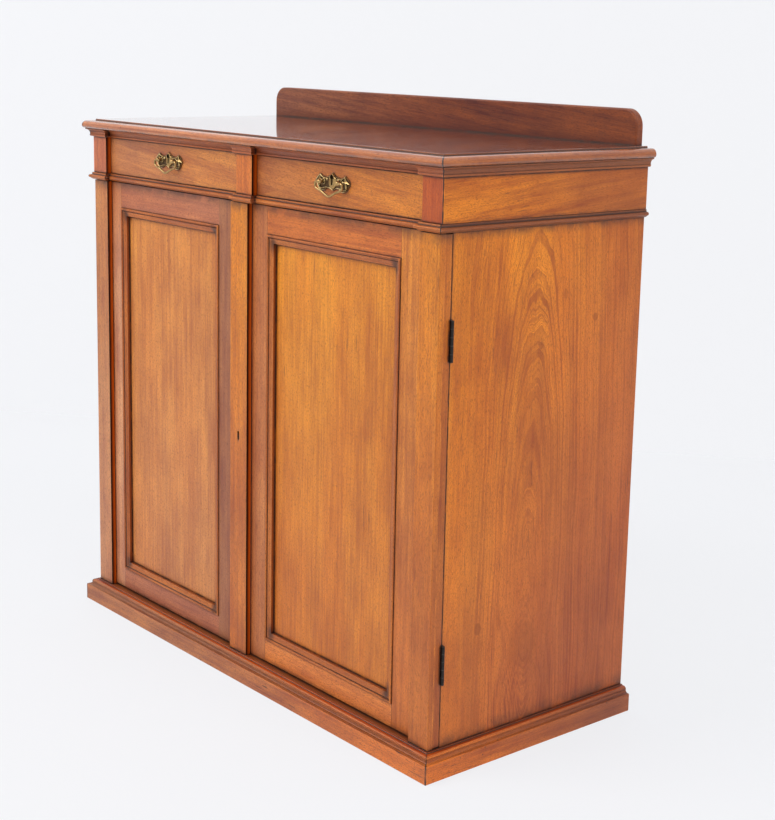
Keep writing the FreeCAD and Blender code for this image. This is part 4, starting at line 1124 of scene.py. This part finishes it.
def plainPaint(name, paint, own):
    material, tree, shader = newMaterial(name)
    place = onPiece(tree)
    patch = noise(tree, place, (0.7, 0.7, 0.7), 2.0)
    lighter = tuple(min(255, value + 3) for value in paint)
    pale = blend(tree, patch, colour(*paint), colour(*lighter))
    feed(tree, shader.inputs["Base Color"], pale)
    shader.inputs["Roughness"].default_value = 0.6
    flat = tree.nodes.new("ShaderNodeEmission")
    feed(tree, flat.inputs["Color"], pale)
    path = tree.nodes.new("ShaderNodeLightPath").outputs
    seen = calc(tree, "ADD", path["Is Camera Ray"], path["Is Glossy Ray"])
    seen = calc(tree, "MINIMUM", calc(tree, "ADD", seen, path["Is Transmission Ray"]), 1.0)
    mixed = tree.nodes.new("ShaderNodeMixShader")
    feed(tree, mixed.inputs[0], times(tree, seen, own))
    feed(tree, mixed.inputs[1], shader.outputs[0])
    feed(tree, mixed.inputs[2], flat.outputs[0])
    feed(tree, tree.nodes["Material Output"].inputs["Surface"], mixed.outputs[0])
    return material


def buildRoom():
    paint = plainPaint("palePaint", room["paint"], room["own"])
    deselect()
    bpy.ops.mesh.primitive_plane_add(size=room["floorSize"], location=(0, 0, 0))
    floor = bpy.context.active_object
    floor.name = "floor"
    floor.data.materials.append(paint)
    deselect()
    bpy.ops.mesh.primitive_plane_add(size=1, location=(*room["wallAt"], room["wallSize"][1] / 2))
    wall = bpy.context.active_object
    wall.name = "wall"
    wall.scale = (room["wallSize"][0], room["wallSize"][1], 1)
    wall.rotation_euler = (math.pi / 2, 0, math.radians(room["wallTurn"]))
    wall.data.materials.append(paint)
    world = bpy.data.worlds.new("studio")
    bpy.context.scene.world = world
    world.use_nodes = True
    sky = world.node_tree.nodes["Background"]
    sky.inputs["Color"].default_value = (0.97, 0.985, 1.0, 1.0)
    sky.inputs["Strength"].default_value = room["world"]


buildRoom()

softboxes = {
    "frontBox": {"place": (-1.2, -2.8, 3.3), "aim": (0, -0.2, 0.5), "size": 2.4, "power": 96},
    "sideBox": {"place": (3.0, -0.2, 3.0), "aim": (0.3, 0, 0.5), "size": 2.0, "power": 48},
}


def buildLights():
    for name, box in softboxes.items():
        bpy.ops.object.light_add(type="AREA", location=box["place"])
        lamp = bpy.context.active_object
        lamp.name = name
        lamp.data.shape = "SQUARE"
        lamp.data.size = box["size"]
        lamp.data.energy = box["power"]
        away = [box["place"][i] - box["aim"][i] for i in range(3)]
        flat = math.hypot(away[0], away[1])
        lamp.rotation_euler = (math.atan2(flat, away[2]), 0, math.atan2(away[0], -away[1]))


buildLights()

view = {"place": (2.2093, -1.7401, 1.122), "turn": (79.1816, -1.1652, 50.2571), "focalPx": 1590.67,
        "axisRow": 342.66, "image": (775, 820), "sensor": 36.0}


def buildCamera():
    tall = max(view["image"])
    bpy.ops.object.camera_add(location=view["place"], rotation=[math.radians(turn) for turn in view["turn"]])
    camera = bpy.context.active_object
    camera.data.sensor_width = view["sensor"]
    camera.data.lens = view["sensor"] * view["focalPx"] / tall
    camera.data.shift_y = (view["axisRow"] - view["image"][1] / 2) / tall
    bpy.context.scene.camera = camera


buildCamera()
bpy.context.scene.view_settings.view_transform = "Standard"
print("room, light and camera set")
